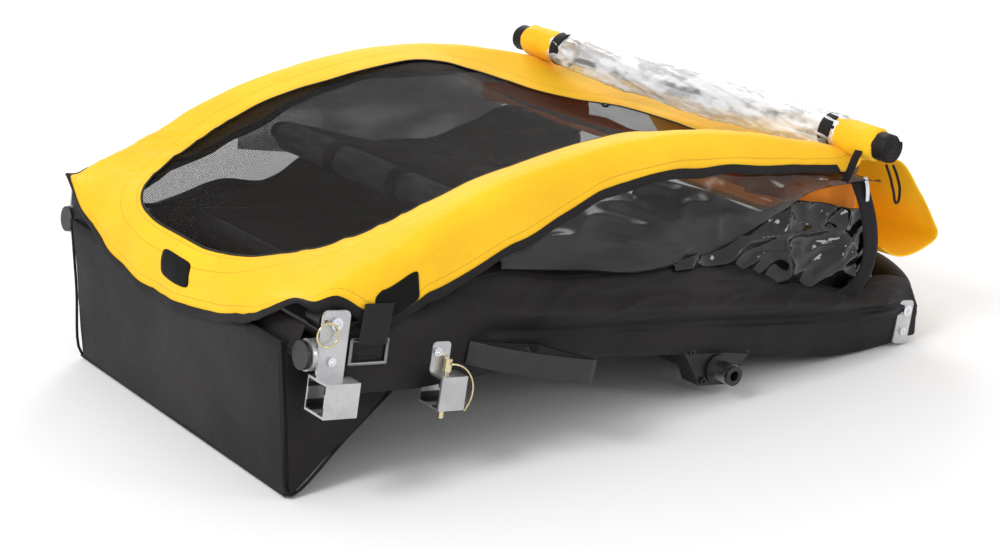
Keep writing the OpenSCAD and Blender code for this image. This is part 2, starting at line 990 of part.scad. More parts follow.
module mesh_screen() {
    r = hoop_radius;
    color("#3a3a3c")
        intersection() {
            arch_band(r + cover_in + 0.4, r + cover_out - 0.4, -cover_half, cover_half, cover_start, cover_end);
            screen_outline(gap);
        }
}

module window(side) {
    top = hoop_radius - skirt_drop - gap;
    color("#3c3836")
        flip(side)
            arch_band(top - window_drop, top, cover_half - 2.4, cover_half - 0.8, -5, 22);
}

module rear_flap() {
    color("gold")
        profile_x(-flap_half, flap_half, [[flap_y, flap_z], [flap_y + 16, flap_z + 4], [409, 238], [488, 130],
            [490, 132], [411, 241], [flap_y + 16, flap_z + 7], [flap_y, flap_z + 3]]);
}

module on_roll() {
    translate([16, roll_y, roll_z])
        rotate([0, 0, roll_turn])
            rotate([0, roll_tip, 0])
                children();
}

module rain_cover_roll() {
    r = roll_d / 2;
    color("#d6d6d8")
        on_roll() {
            bar_x(-roll_half, roll_half, r - 3);
            bar_x(-roll_half + 16, -strap_x - 12, r);
            bar_x(-strap_x + 12, strap_x - 12, r);
            bar_x(strap_x + 12, roll_half - 16, r);
        }
}

module roll_straps() {
    r = roll_d / 2;
    color("#242325")
        on_roll()
            for (side = [-1, 1])
                translate([side * strap_x, 0, 0])
                    difference() {
                        bar_x(-11.5, 11.5, r);
                        bar_x(-12, 12, r - 3 + gap);
                    }
}

side_rail(1);  // side_rail_left
side_rail(-1);  // side_rail_right
front_cross_tube();
mid_cross_tube();
rear_cross_tube();
axle_beam();
rail_front_caps();
rail_rear_plugs();
front_bracket(1);  // front_bracket_left
front_bracket(-1);  // front_bracket_right
rear_bracket(1);  // rear_bracket_left
rear_bracket(-1);  // rear_bracket_right
tow_receiver_rear();
front_receiver_liners();
rear_receiver_liners();
frame_screws();
hoop_pivot_bolts();
seat_pivot_bolts();
pivot_spacers();
hitch_pin();
hitch_pin_ring();
tether_ring();
tension_ring(1);  // tension_ring_left
tension_ring(-1);  // tension_ring_right
tension_straps();
axle_housing(1);  // axle_housing_left
axle_housing(-1);  // axle_housing_right
axle_sleeve(1);  // axle_sleeve_left
axle_sleeve(-1);  // axle_sleeve_right
axle_bush(1);  // axle_bush_left
axle_bush(-1);  // axle_bush_right
housing_bolts();
wheel_guard(1);  // wheel_guard_left
wheel_guard(-1);  // wheel_guard_right
canopy_hoop();
hoop_end(1);  // hoop_end_left
hoop_end(-1);  // hoop_end_right
seat_hoop();
seat_end(1);  // seat_end_left
seat_end(-1);  // seat_end_right
crossbar_foam();
crossbar_loops();
seat_back();
harness_straps();
harness_buckle();
seat_base();
footwell();
floor_panel();
side_panel(1);  // side_panel_left
side_panel(-1);  // side_panel_right
rear_panel();
front_apron();
canopy_cover();
mesh_screen();
window(1);  // window_left
window(-1);  // window_right
rear_flap();
rain_cover_roll();
roll_straps();
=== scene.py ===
"""Child bicycle trailer, folded flat: cloth, net, film, foam and finishes on a fixed frame.

Front is -Y, the trailer's own left side is +X and the floor is Z = 0. The classes
hold their sizes in millimetres, which become metres where a mesh is made.
"""

import logging
import math
from dataclasses import dataclass
from enum import Enum
from typing import Callable

import bmesh
import bpy
from mathutils import Matrix, Vector, noise


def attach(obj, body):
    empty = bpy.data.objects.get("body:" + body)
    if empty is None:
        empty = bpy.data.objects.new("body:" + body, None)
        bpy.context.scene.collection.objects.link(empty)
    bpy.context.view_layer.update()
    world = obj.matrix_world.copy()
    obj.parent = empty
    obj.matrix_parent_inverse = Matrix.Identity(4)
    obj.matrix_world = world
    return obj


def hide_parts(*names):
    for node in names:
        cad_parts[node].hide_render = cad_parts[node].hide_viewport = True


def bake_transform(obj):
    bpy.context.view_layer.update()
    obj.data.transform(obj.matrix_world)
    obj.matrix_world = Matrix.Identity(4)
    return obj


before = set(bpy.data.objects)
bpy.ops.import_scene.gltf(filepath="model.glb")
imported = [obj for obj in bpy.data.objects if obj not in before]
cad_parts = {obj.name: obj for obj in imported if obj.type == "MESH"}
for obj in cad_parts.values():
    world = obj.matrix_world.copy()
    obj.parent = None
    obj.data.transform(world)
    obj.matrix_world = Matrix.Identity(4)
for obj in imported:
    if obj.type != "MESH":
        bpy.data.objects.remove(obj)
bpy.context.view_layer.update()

LOG = logging.getLogger("trailer")
MM = 0.001
PITCH = math.radians(9.8)
RAIL_X = 292.0
RAIL_R = 14.0

Colour = tuple[float, float, float]
Place = Callable[[float, float], Vector]
Pair = tuple[float, float]


class Body(Enum):
    """The bodies of the frame that pieces ride on."""

    BASE = "base"
    CANOPY = "canopy"
    SEAT = "seat"
    TETHER = "tether"


class Side(Enum):
    """A side of the trailer, as the sign of X."""

    LEFT = 1
    RIGHT = -1

    @property
    def tag(self) -> str:
        """The side's name in a piece's name."""
        return self.name.lower()


def on_rail(along: float, up: float, across: float = 0.0) -> Vector:
    """Gives a point from its place along a side rail and its height square to it.

    Args:
        along: Distance from the rail's front end, in millimetres.
        up: Height over the rail's axis, in millimetres.
        across: The X of the point, in millimetres.

    Returns:
        The point in the shared frame, in millimetres.
    """
    c, s = math.cos(PITCH), math.sin(PITCH)
    return Vector((across, -480 + along * c + up * s, 177.5 - along * s + up * c))


def rail_z(y: float) -> float:
    """Gives the height of a rail's axis at that Y."""
    return 177.5 - (y + 480) * math.tan(PITCH)


def step(low: float, high: float, value: float) -> float:
    """Goes smoothly from 0 at low to 1 at high."""
    t = min(1.0, max(0.0, (value - low) / (high - low)))
    return t * t * (3 - 2 * t)


def wave(x: float, y: float, seed: float) -> float:
    """Gives a smooth random value, about -1 to 1, that is the same each run."""
    return noise.noise(Vector((x, y, seed)))


def crease(x: float, y: float, seed: float) -> float:
    """Gives a random value from 0 to 1 with sharp ridges, as in creased cloth."""
    return (1 - min(1.0, 2.2 * abs(wave(x, y, seed)))) ** 2


@dataclass(frozen=True)
class Profile:
    """A smooth line through pairs of place and value."""

    points: tuple[Pair, ...]

    def _slope(self, i: int) -> float:
        """Gives the line's slope at point i."""
        a, b = self.points[max(i - 1, 0)], self.points[min(i + 1, len(self.points) - 1)]
        return (b[1] - a[1]) / (b[0] - a[0])

    def __call__(self, place: float) -> float:
        """Gives the line's value at a place."""
        if place <= self.points[0][0]:
            return self.points[0][1]
        if place >= self.points[-1][0]:
            return self.points[-1][1]
        i = next(k for k, point in enumerate(self.points) if place <= point[0])
        (x0, y0), (x1, y1) = self.points[i - 1], self.points[i]
        span = x1 - x0
        t = (place - x0) / span
        m0, m1 = self._slope(i - 1) * span, self._slope(i) * span
        return (
            (2 * t**3 - 3 * t**2 + 1) * y0
            + (t**3 - 2 * t**2 + t) * m0
            + (3 * t**2 - 2 * t**3) * y1
            + (t**3 - t**2) * m1
        )


# ---------------------------------------------------------------- shader nodes


class Value:
    """A shader socket that Python arithmetic extends with Math nodes."""

    def __init__(self, shader: "Shader", socket: bpy.types.NodeSocket) -> None:
        """Wraps a socket of that shader."""
        self.shader = shader
        self.socket = socket

    def _math(self, operation: str, *terms: "Value | float") -> "Value":
        """Adds a Math node on these terms."""
        return self.shader.node("ShaderNodeMath", {"operation": operation}, dict(enumerate(terms)))

    def __add__(self, other: "Value | float") -> "Value":
        """Adds."""
        return self._math("ADD", self, other)

    __radd__ = __add__

    def __sub__(self, other: "Value | float") -> "Value":
        """Subtracts."""
        return self._math("SUBTRACT", self, other)

    def __rsub__(self, other: float) -> "Value":
        """Subtracts from a number."""
        return self._math("SUBTRACT", other, self)

    def __mul__(self, other: "Value | float") -> "Value":
        """Multiplies."""
        return self._math("MULTIPLY", self, other)

    __rmul__ = __mul__

    def __truediv__(self, other: "Value | float") -> "Value":
        """Divides."""
        return self._math("DIVIDE", self, other)

    def __pow__(self, other: float) -> "Value":
        """Raises to a power."""
        return self._math("POWER", self, other)

    def __lt__(self, other: "Value | float") -> "Value":
        """Is 1 where this is less."""
        return self._math("LESS_THAN", self, other)

    def __gt__(self, other: "Value | float") -> "Value":
        """Is 1 where this is more."""
        return self._math("GREATER_THAN", self, other)

    def __abs__(self) -> "Value":
        """Drops the sign."""
        return self._math("ABSOLUTE", self)

    def sin(self) -> "Value":
        """Takes the sine."""
        return self._math("SINE", self)

    def fract(self) -> "Value":
        """Keeps the part after the point."""
        return self._math("FRACT", self)

    def ramp(self, low: float, high: float) -> "Value":
        """Goes smoothly from 0 at low to 1 at high."""
        settings = {"interpolation_type": "SMOOTHSTEP"}
        return self.shader.node("ShaderNodeMapRange", settings, {0: self, 1: low, 2: high})


class Shader:
    """A material under construction: one method adds every kind of node."""

    def __init__(self, name: str) -> None:
        """Starts an empty node material of that name."""
        self.material = bpy.data.materials.new(name)
        self.material.use_nodes = True
        self.tree = self.material.node_tree
        self.tree.nodes.clear()

    def node(
        self,
        kind: str,
        settings: dict[str, object] | None = None,
        inputs: dict[int | str, object] | None = None,
        output: int | str = 0,
    ) -> Value:
        """Adds a node.

        Args:
            kind: The node's type.
            settings: Its settings, such as a Math node's operation.
            inputs: Values or links for its sockets, by name or index.
            output: The output socket that is handed back.

        Returns:
            That output, ready for arithmetic.
        """
        made = self.tree.nodes.new(kind)
        for key, setting in (settings or {}).items():
            setattr(made, key, setting)
        for key, term in (inputs or {}).items():
            if isinstance(term, Value):
                self.tree.links.new(term.socket, made.inputs[key])
            else:
                made.inputs[key].default_value = term
        return Value(self, made.outputs[output] if made.outputs else None)

    def point(self, stretch: Vector | tuple[float, ...] = (1, 1, 1)) -> Value:
        """Gives the place on the object, stretched along the axes."""
        where = self.node("ShaderNodeTexCoord", output="Object")
        return self.node("ShaderNodeMapping", inputs={"Vector": where, "Scale": stretch})

    def noise(self, vector: Value, scale: float, detail: float = 3.0, rough: float = 0.5) -> Value:
        """Gives a noise value from 0 to 1 at that scale."""
        sockets = {"Vector": vector, "Scale": scale, "Detail": detail, "Roughness": rough}
        return self.node("ShaderNodeTexNoise", inputs=sockets)

    def uv(self, layer: str = "UVMap") -> tuple[Value, Value]:
        """Gives the two parts of a UV map, which are in metres."""
        where = self.node("ShaderNodeUVMap", {"uv_map": layer})
        parts = self.tree.nodes.new("ShaderNodeSeparateXYZ")
        self.tree.links.new(where.socket, parts.inputs[0])
        return Value(self, parts.outputs[0]), Value(self, parts.outputs[1])

    def mix(self, factor: Value | float, low: object, high: object) -> Value:
        """Mixes two colours."""
        sockets = {0: factor}
        for key, colour in ((6, low), (7, high)):
            sockets[key] = colour if isinstance(colour, Value) else (*colour, 1.0)
        return self.node("ShaderNodeMix", {"data_type": "RGBA"}, sockets, output=2)

    def bump(self, height: Value, depth: float, strength: float = 1.0) -> Value:
        """Turns a height from 0 to 1 into a bump of that depth in millimetres."""
        return self.node(
            "ShaderNodeBump", inputs={"Height": height, "Distance": depth * MM, "Strength": strength}
        )

    def surface(self, colour: object, **sockets: object) -> bpy.types.Material:
        """Ends the material in a Principled surface.

        Args:
            colour: The base colour, as a value or three numbers.
            **sockets: Other sockets, with underscores for spaces.

        Returns:
            The finished material.
        """
        inputs = {key.replace("_", " "): term for key, term in sockets.items()}
        inputs["Base Color"] = colour if isinstance(colour, Value) else (*colour, 1.0)
        made = self.node("ShaderNodeBsdfPrincipled", inputs=inputs)
        self.node("ShaderNodeOutputMaterial", inputs={"Surface": made})
        return self.material


# -------------------------------------------------------------------- finishes


@dataclass(frozen=True)
class WovenCloth:
    """Coated woven cloth with thread rows, soft shade changes and sewn lines."""

    name: str
    colour: Colour
    shade: Colour
    thread: float = 1.2
    grain: float = 0.12
    rough: float = 0.72
    sheen: float = 0.08
    shine: float = 0.3
    # Emission colour, black for none: a painted glow that makes the cloth give light though it is no
    # lamp.
    painted_glow: Colour = (0.0, 0.0, 0.0)
    crumple: float = 0.9
    stitches: tuple[float, ...] = ()
    inner_stitches: tuple[float, ...] = ()
    stitch_colour: Colour = (0.6, 0.33, 0.01)

    def _row(self, s: Shader, layer: str, lines: tuple[float, ...]) -> Value | None:
        """Gives a mask of sewn stitches at these distances from an edge."""
        if not lines:
            return None
        along, away = s.uv(layer)
        dashes = (along / (3.6 * MM)).fract() < 0.68
        rows = None
        for line in lines:
            row = abs(away - line * MM) < 0.65 * MM
            rows = row if rows is None else rows + row
        return rows * dashes

    def build(self) -> bpy.types.Material:
        """Makes the material."""
        s = Shader(self.name)
        along, away = s.uv()
        turn = 2 * math.pi / (self.thread * MM)
        weave = (along * turn).sin() * (away * turn).sin() * 0.5 + 0.5
        broad = s.noise(s.point(), 7.0, 3.0)
        slub = s.noise(s.point((1.0, 1.0, 6.0)), 160.0, 2.0)
        fine = s.noise(s.point(), 620.0, 1.0)
        tone = (broad * 0.55 + slub * 0.25 + fine * 0.2 + weave * self.grain).ramp(0.36, 0.72)
        colour = s.mix(tone, self.shade, self.colour)
        folds = s.noise(s.point(), 34.0, 4.0, 0.55)
        height = folds * self.crumple + (weave * 0.5 + fine * 0.5) * 0.12
        rows = [r for r in (self._row(s, "UVMap", self.stitches),
                            self._row(s, "Inner", self.inner_stitches)) if r is not None]
        for row in rows:
            colour = s.mix(row, colour, self.stitch_colour)
            height = height + row * 0.25
        rough = tone * -0.12 + (self.rough + 0.06)
        # The emission is the painted glow, light painted into the cloth.
        return s.surface(
            colour, Roughness=rough, Normal=s.bump(height, 1.6, 0.55),
            Sheen_Weight=self.sheen, Sheen_Roughness=0.4, Specular_IOR_Level=self.shine,
            Emission_Color=(*self.painted_glow, 1.0), Emission_Strength=0.35,
        )


@dataclass(frozen=True)
class NetCloth:
    """Open net with rows of small holes that let the inside show."""

    name: str = "black_net"
    pitch: float = 2.3
    solid: float = 0.86
    open: float = 0.16

    def build(self) -> bpy.types.Material:
        """Makes the material."""
        s = Shader(self.name)
        along, away = s.uv()
        turn = math.pi / (self.pitch * MM)
        hole = (abs((along * turn).sin()) * abs((away * turn).sin())).ramp(0.16, 0.5)
        patch = s.noise(s.point(), 5.0, 2.0)
        fine = s.noise(s.point((1.0, 0.35, 1.0)), 300.0, 2.0)
        colour = s.mix(fine.ramp(0.45, 0.8), (0.004, 0.003, 0.0022), (0.017, 0.0125, 0.009))
        alpha = hole * (self.open - self.solid) + (patch * 0.08 + (self.solid - 0.04))
        return s.surface(colour, Roughness=0.7, Alpha=alpha, Specular_IOR_Level=0.1,
                         Normal=s.bump(hole, 0.25, 0.5))


@dataclass(frozen=True)
class Film:
    """Thin glossy film, clear or smoked, whose crease ridges get a lighter colour as a painted
    highlight.
    """

    name: str
    colour: Colour
    # The colour of the painted highlight on the crease ridges.
    bright: Colour
    thin: float
    thick: float
    rough: float = 0.08
    crease_scale: float = 30.0
    stretch: tuple[float, float, float] = (1.0, 1.0, 1.0)
    depth: float = 1.5

    def build(self) -> bpy.types.Material:
        """Makes the material."""
        s = Shader(self.name)
        where = s.point(self.stretch)
        ridge = 1 - abs(s.noise(where, self.crease_scale, 3.0, 0.6) - 0.5) * 5.5
        ridge = ridge.ramp(0.0, 1.0)
        cloud = s.noise(where, self.crease_scale * 0.4, 2.0)
        cover = (ridge * 0.65 + cloud * 0.6).ramp(0.3, 1.0)
        # The lighter colour on the ridges is a painted highlight; the same mask also raises the alpha
        # there.
        colour = s.mix(cover, self.colour, self.bright)
        alpha = cover * (self.thick - self.thin) + self.thin
        return s.surface(colour, Roughness=self.rough, Alpha=alpha, IOR=1.5,
                         Normal=s.bump(ridge + cloud * 0.6, self.depth, 0.8))


@dataclass(frozen=True)
class Foam:
    """Closed-cell foam with fine pores."""

    name: str = "foam_grey"

    def build(self) -> bpy.types.Material:
        """Makes the material."""
        s = Shader(self.name)
        pores = s.noise(s.point(), 900.0, 2.0)
        scuff = s.noise(s.point((1.0, 4.0, 4.0)), 30.0, 4.0)
        colour = s.mix(scuff.ramp(0.35, 0.75), (0.085, 0.086, 0.092), (0.19, 0.19, 0.2))
        return s.surface(colour, Roughness=0.8 - scuff * 0.15,
                         Normal=s.bump(pores + scuff * 0.8, 0.5, 0.6), Sheen_Weight=0.1)


@dataclass(frozen=True)
class Webbing:
    """Woven tape with ribs across it and a raised edge."""

    name: str = "webbing_black"
    colour: Colour = (0.008, 0.0075, 0.008)
    light: Colour = (0.024, 0.0225, 0.0235)
    rib: float = 1.7

    def build(self) -> bpy.types.Material:
        """Makes the material."""
        s = Shader(self.name)
        along, away = s.uv()
        ribs = (along * (2 * math.pi / (self.rib * MM))).sin() * 0.5 + 0.5
        cross = (away * (2 * math.pi / (self.rib * 1.6 * MM))).sin() * 0.5 + 0.5
        fuzz = s.noise(s.point(), 500.0, 2.0)
        pattern = ribs * 0.5 + cross * 0.2 + fuzz * 0.4
        return s.surface(s.mix(pattern.ramp(0.3, 0.9), self.colour, self.light),
                         Roughness=0.75, Normal=s.bump(pattern, 0.35, 0.7), Sheen_Weight=0.03,
                         Specular_IOR_Level=0.2)


@dataclass(frozen=True)
class Metal:
    """Metal with brush lines, worn patches and small dents."""

    name: str
    colour: Colour
    worn: Colour
    rough: float = 0.3
    metallic: float = 1.0
    brush: tuple[float, float, float] = (1.0, 6.0, 6.0)
    depth: float = 0.06

    def build(self) -> bpy.types.Material:
        """Makes the material."""
        s = Shader(self.name)
        lines = s.noise(s.point(self.brush), 140.0, 3.0, 0.6)
        patch = s.noise(s.point(), 22.0, 4.0, 0.6)
        wear = (patch * 0.7 + lines * 0.4).ramp(0.42, 0.72)
        return s.surface(s.mix(wear, self.colour, self.worn),
                         Roughness=wear * 0.14 + (self.rough - 0.05), Metallic=self.metallic,
                         Normal=s.bump(lines + patch * 0.5, self.depth, 0.5))


@dataclass(frozen=True)
class Moulded:
    """Moulded black plastic with a fine spark grain and slight scuffs."""

    name: str = "moulded_black"
    colour: Colour = (0.009, 0.009, 0.0095)
    scuffed: Colour = (0.024, 0.0235, 0.0235)
    rough: float = 0.42

    def build(self) -> bpy.types.Material:
        """Makes the material."""
        s = Shader(self.name)
        grain = s.noise(s.point(), 1100.0, 2.0)
        scuff = s.noise(s.point((1.0, 0.4, 2.0)), 48.0, 5.0, 0.65)
        mask = scuff.ramp(0.52, 0.74)
        return s.surface(s.mix(mask, self.colour, self.scuffed),
                         Roughness=mask * 0.15 + (grain * 0.08 + (self.rough - 0.04)),
                         Normal=s.bump(grain, 0.12, 0.5))


@dataclass(frozen=True)
class StudioFloor:
    """A plain pale floor."""

    name: str = "studio_floor"
    colour: Colour = (0.86, 0.86, 0.865)

    def build(self) -> bpy.types.Material:
        """Makes the material."""
        s = Shader(self.name)
        soft = s.noise(s.point(), 1.2, 2.0)
        pale = tuple(0.985 * c for c in self.colour)
        return s.surface(s.mix(soft, pale, self.colour), Roughness=0.85, Specular_IOR_Level=0.1)


class Finishes:
    """All the finishes of the trailer, each made once."""

    def __init__(self) -> None:
        """Makes the materials."""
        yellow, amber = (0.93, 0.55, 0.012), (0.84, 0.45, 0.006)
        self.yellow = WovenCloth("yellow_cloth", yellow, amber, stitches=(19.0,),
                                 inner_stitches=(6.0, 27.0)).build()
        # The flap's glow is painted light: an emission that brightens the flap as if it were lit from
        # behind.
        self.flap = WovenCloth("flap_cloth", yellow, amber, painted_glow=(0.5, 0.22, 0.002)).build()
        # backlit_cloth is the yellow cloth's inside with painted light: a darker orange copy as painted
        # shade, and a painted glow.
        self.backlit = WovenCloth("backlit_cloth", (0.7, 0.22, 0.01), (0.4, 0.1, 0.004),
                                  painted_glow=(0.3, 0.07, 0.004)).build()
        self.black = WovenCloth("black_cloth", (0.0125, 0.0098, 0.0112), (0.0055, 0.0043, 0.005),
                                rough=0.6, sheen=0.03, shine=0.22, stitches=(9.0,),
                                stitch_colour=(0.03, 0.028, 0.03)).build()
        self.lining = WovenCloth("lining_cloth", (0.018, 0.016, 0.018), (0.007, 0.006, 0.007),
                                 rough=0.85, sheen=0.04, shine=0.15).build()
        self.binding = Webbing("binding_tape", (0.0065, 0.0055, 0.0055), (0.017, 0.0145, 0.0145),
                               rib=1.3).build()
        self.net = NetCloth().build()
        # Each film's second colour is the painted highlight on its crease ridges.
        self.smoked = Film("smoked_film", (0.004, 0.0036, 0.0034), (0.02, 0.0185, 0.0175),
                           thin=0.5, thick=0.72, rough=0.16, crease_scale=7.0,
                           stretch=(1.0, 0.35, 1.4), depth=0.9).build()
        self.clear = Film("clear_film", (0.6, 0.61, 0.64), (0.95, 0.96, 0.98), thin=0.32,
                          thick=0.78, rough=0.14, crease_scale=26.0,
                          stretch=(0.4, 1.0, 1.0), depth=0.3).build()
        self.vinyl = Film("black_vinyl", (0.002, 0.0018, 0.0018), (0.006, 0.0055, 0.0055), thin=1.0,
                          thick=1.0, rough=0.05, crease_scale=12.0, depth=0.8).build()
        self.foam = Foam().build()
        self.webbing = Webbing().build()
        self.plate = Metal("plate_silver", (0.44, 0.44, 0.45), (0.58, 0.58, 0.59), rough=0.36,
                           metallic=0.8).build()
        self.zinc = Metal("zinc_bright", (0.62, 0.64, 0.68), (0.8, 0.81, 0.84), rough=0.22).build()
        self.brass = Metal("pin_yellow_zinc", (0.6, 0.5, 0.27), (0.74, 0.67, 0.45),
                           rough=0.25).build()
        self.dark_wire = Metal("ring_dark_wire", (0.12, 0.12, 0.125), (0.26, 0.26, 0.27),
                               rough=0.3).build()
        self.turned = Metal("turned_sleeve", (0.36, 0.36, 0.38), (0.52, 0.52, 0.54), rough=0.3,
                            brush=(9.0, 1.0, 1.0)).build()
        self.tube = Metal("tube_charcoal", (0.035, 0.035, 0.038), (0.075, 0.075, 0.08), rough=0.4,
                          metallic=0.4).build()
        self.bolt = Metal("black_oxide", (0.02, 0.02, 0.021), (0.07, 0.07, 0.072), rough=0.36,
                          metallic=0.7).build()
        self.plastic = Moulded().build()
        self.hook = WovenCloth("hook_tape", (0.009, 0.0085, 0.0085), (0.005, 0.0045, 0.0045),
                               thread=2.2, grain=0.4, rough=0.95, sheen=0.05, shine=0.1,
                               crumple=0.2).build()
        self.thread = Webbing("white_thread", (0.55, 0.55, 0.56), (0.8, 0.8, 0.8)).build()


# ----------------------------------------------------------------- mesh making


def joined(name: str, mesh: bpy.types.Mesh, material: bpy.types.Material,
           wall: float = 0.0) -> bpy.types.Object:
    """Makes an object of a mesh, smooth and with its finish.

    Args:
        name: The piece's name.
        mesh: Its mesh.
        material: Its finish.
        wall: Thickness that a Solidify modifier gives it, in millimetres, or 0.

    Returns:
        The object, at the origin.
    """
    mesh.materials.append(material)
    for polygon in mesh.polygons:
        polygon.use_smooth = True
    piece = bpy.data.objects.new(name, mesh)
    bpy.context.scene.collection.objects.link(piece)
    if wall:
        solid = piece.modifiers.new("wall", "SOLIDIFY")
        solid.thickness = wall * MM
        solid.offset = 0.0
    return piece


def sheet(name: str, counts: tuple[int, int], place: Place, material: bpy.types.Material,
          wall: float = 1.2, uv: Callable[[float, float], Pair] | None = None,
          inner: Callable[[float, float], Pair] | None = None,
          closed: bool = False) -> bpy.types.Object:
    """Makes a sheet whose points a function places.

    Args:
        name: The piece's name.
        counts: Squares along the two ways of the sheet.
        place: Gives a point, in millimetres, from two shares from 0 to 1.
        material: The finish.
        wall: Thickness in millimetres.
        uv: Gives the UV in millimetres from the same shares, or measures it.
        inner: The same for the second UV map, where there is one.
        closed: Whether the two ends of the first way meet.

    Returns:
        The sheet.
    """
    bm = bmesh.new()
    bmesh.ops.create_grid(bm, x_segments=counts[0], y_segments=counts[1], size=0.5)
    shares = {v: (v.co.x + 0.5, v.co.y + 0.5) for v in bm.verts}
    if uv is None:
        width = sum((place(i / 24, 0.5) - place((i + 1) / 24, 0.5)).length for i in range(24))
        length = sum((place(0.5, i / 24) - place(0.5, (i + 1) / 24)).length for i in range(24))
        uv = lambda a, b: (a * width, b * length)
    layers = [(bm.loops.layers.uv.new("UVMap"), uv)]
    if inner is not None:
        layers.append((bm.loops.layers.uv.new("Inner"), inner))
    for face in bm.faces:
        for loop in face.loops:
            for layer, measure in layers:
                u, v = measure(*shares[loop.vert])
                loop[layer].uv = (u * MM, v * MM)
    for vert, share in shares.items():
        vert.co = place(*share) * MM
    if closed:
        bmesh.ops.remove_doubles(bm, verts=bm.verts, dist=1e-5)
    bmesh.ops.recalc_face_normals(bm, faces=bm.faces)
    mesh = bpy.data.meshes.new(name)
    bm.to_mesh(mesh)
    bm.free()
    return joined(name, mesh, material, wall)


def strap(name: str, path: list[Vector], across: Callable[[float], Vector] | Vector, width: float,
          material: bpy.types.Material, wall: float = 1.6) -> bpy.types.Object:
    """Makes a flat strap along a path of points, in millimetres.

    Args:
        name: The piece's name.
        path: The points that its middle follows.
        across: The way that its width goes, or a function of the share along it.
        width: Its width.
        material: The finish.
        wall: Its thickness.

    Returns:
        The strap.
    """
    steps = [(b - a).length for a, b in zip(path, path[1:])]
    total = sum(steps)
    marks = [sum(steps[:i]) / total for i in range(len(path))]
    lines = [Profile(tuple((m, p[k]) for m, p in zip(marks, path))) for k in range(3)]

    def place(a: float, b: float) -> Vector:
        """Gives a point of the strap."""
        way = across(a) if callable(across) else across
        return Vector(line(a) for line in lines) + way.normalized() * (b - 0.5) * width

    return sheet(name, (max(12, int(total / 5)), 4), place, material, wall,
                 uv=lambda a, b: (a * total, b * width))


def rod(name: str, path: list[Vector], radius: float, material: bpy.types.Material,
        closed: bool = False, sides: int = 4) -> bpy.types.Object:
    """Makes a round rod or cord along a path of points, in millimetres.

    Args:
        name: The piece's name.
        path: The points that it follows.
        radius: Its radius.
        material: The finish.
        closed: Whether its ends meet.
        sides: How finely it is rounded.

    Returns:
        The rod, as a mesh.
    """
    curve = bpy.data.curves.new(name, "CURVE")
    curve.dimensions = "3D"
    curve.bevel_depth = radius * MM
    curve.bevel_resolution = sides
    curve.use_fill_caps = not closed
    curve.resolution_u = 6
    spline = curve.splines.new("BEZIER")
    spline.bezier_points.add(len(path) - 1)
    for knot, point in zip(spline.bezier_points, path):
        knot.co = point * MM
        knot.handle_left_type = knot.handle_right_type = "AUTO"
    spline.use_cyclic_u = closed
    holder = bpy.data.objects.new(name + ".line", curve)
    bpy.context.scene.collection.objects.link(holder)
    bpy.context.view_layer.update()
    mesh = bpy.data.meshes.new_from_object(holder.evaluated_get(
        bpy.context.evaluated_depsgraph_get()))
    bpy.data.objects.remove(holder)
    mesh.materials.clear()
    return joined(name, mesh, material)


def lathe(name: str, outline: list[Pair], place: Matrix, material: bpy.types.Material,
          sides: int = 48, ripple: Callable[[float, float], float] | None = None
          ) -> bpy.types.Object:
    """Turns an outline of (along, radius) pairs round the local X axis.

    Args:
        name: The piece's name.
        outline: Pairs in millimetres, from one end to the other.
        place: Puts the local axes in the shared frame.
        material: The finish.
        sides: How many steps the turn has.
        ripple: Gives a change of radius from the place along and the angle.

    Returns:
        The turned piece, closed at both ends.
    """
    bm = bmesh.new()
    verts = [bm.verts.new((x, r, 0)) for x, r in outline]
    edges = [bm.edges.new(pair) for pair in zip(verts, verts[1:])]
    bmesh.ops.spin(bm, geom=verts + edges, axis=(1, 0, 0), cent=(0, 0, 0), dvec=(0, 0, 0),
                   angle=2 * math.pi, steps=sides, use_merge=True)
    bmesh.ops.remove_doubles(bm, verts=bm.verts, dist=1e-3)
    bmesh.ops.recalc_face_normals(bm, faces=bm.faces)
    layer = bm.loops.layers.uv.new("UVMap")
    for face in bm.faces:
        for loop in face.loops:
            co = loop.vert.co
            loop[layer].uv = (co.x * MM, math.atan2(co.z, co.y) * Vector(co.yz).length * MM)
    for vert in bm.verts:
        if ripple is not None and Vector(vert.co.yz).length > 1:
            grow = 1 + ripple(vert.co.x, math.atan2(vert.co.z, vert.co.y)) / Vector(vert.co.yz).length
            vert.co.y *= grow
            vert.co.z *= grow
        vert.co = (place @ vert.co) * MM
    mesh = bpy.data.meshes.new(name)
    bm.to_mesh(mesh)
    bm.free()
    return joined(name, mesh, material)


def settle(piece: bpy.types.Object, body: Body, slot: str, *nodes: str) -> bpy.types.Object:
    """Says what a piece rides on and the nodes that it stands for."""
    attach(piece, body.value)
    if nodes:
        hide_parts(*nodes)
    LOG.info("made %s on %s", piece.name, body.value)
    return piece


def bend(piece: bpy.types.Object, slot: str, start: Vector, end: Vector,
         *nodes: str) -> bpy.types.Object:
    """Bakes a piece's placement into its mesh and hides the nodes that it stands for."""
    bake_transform(piece)
    if nodes:
        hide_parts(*nodes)
    LOG.info("made %s between base and canopy", piece.name)
    return piece


# ---------------------------------------------------------------- sub-assemblies


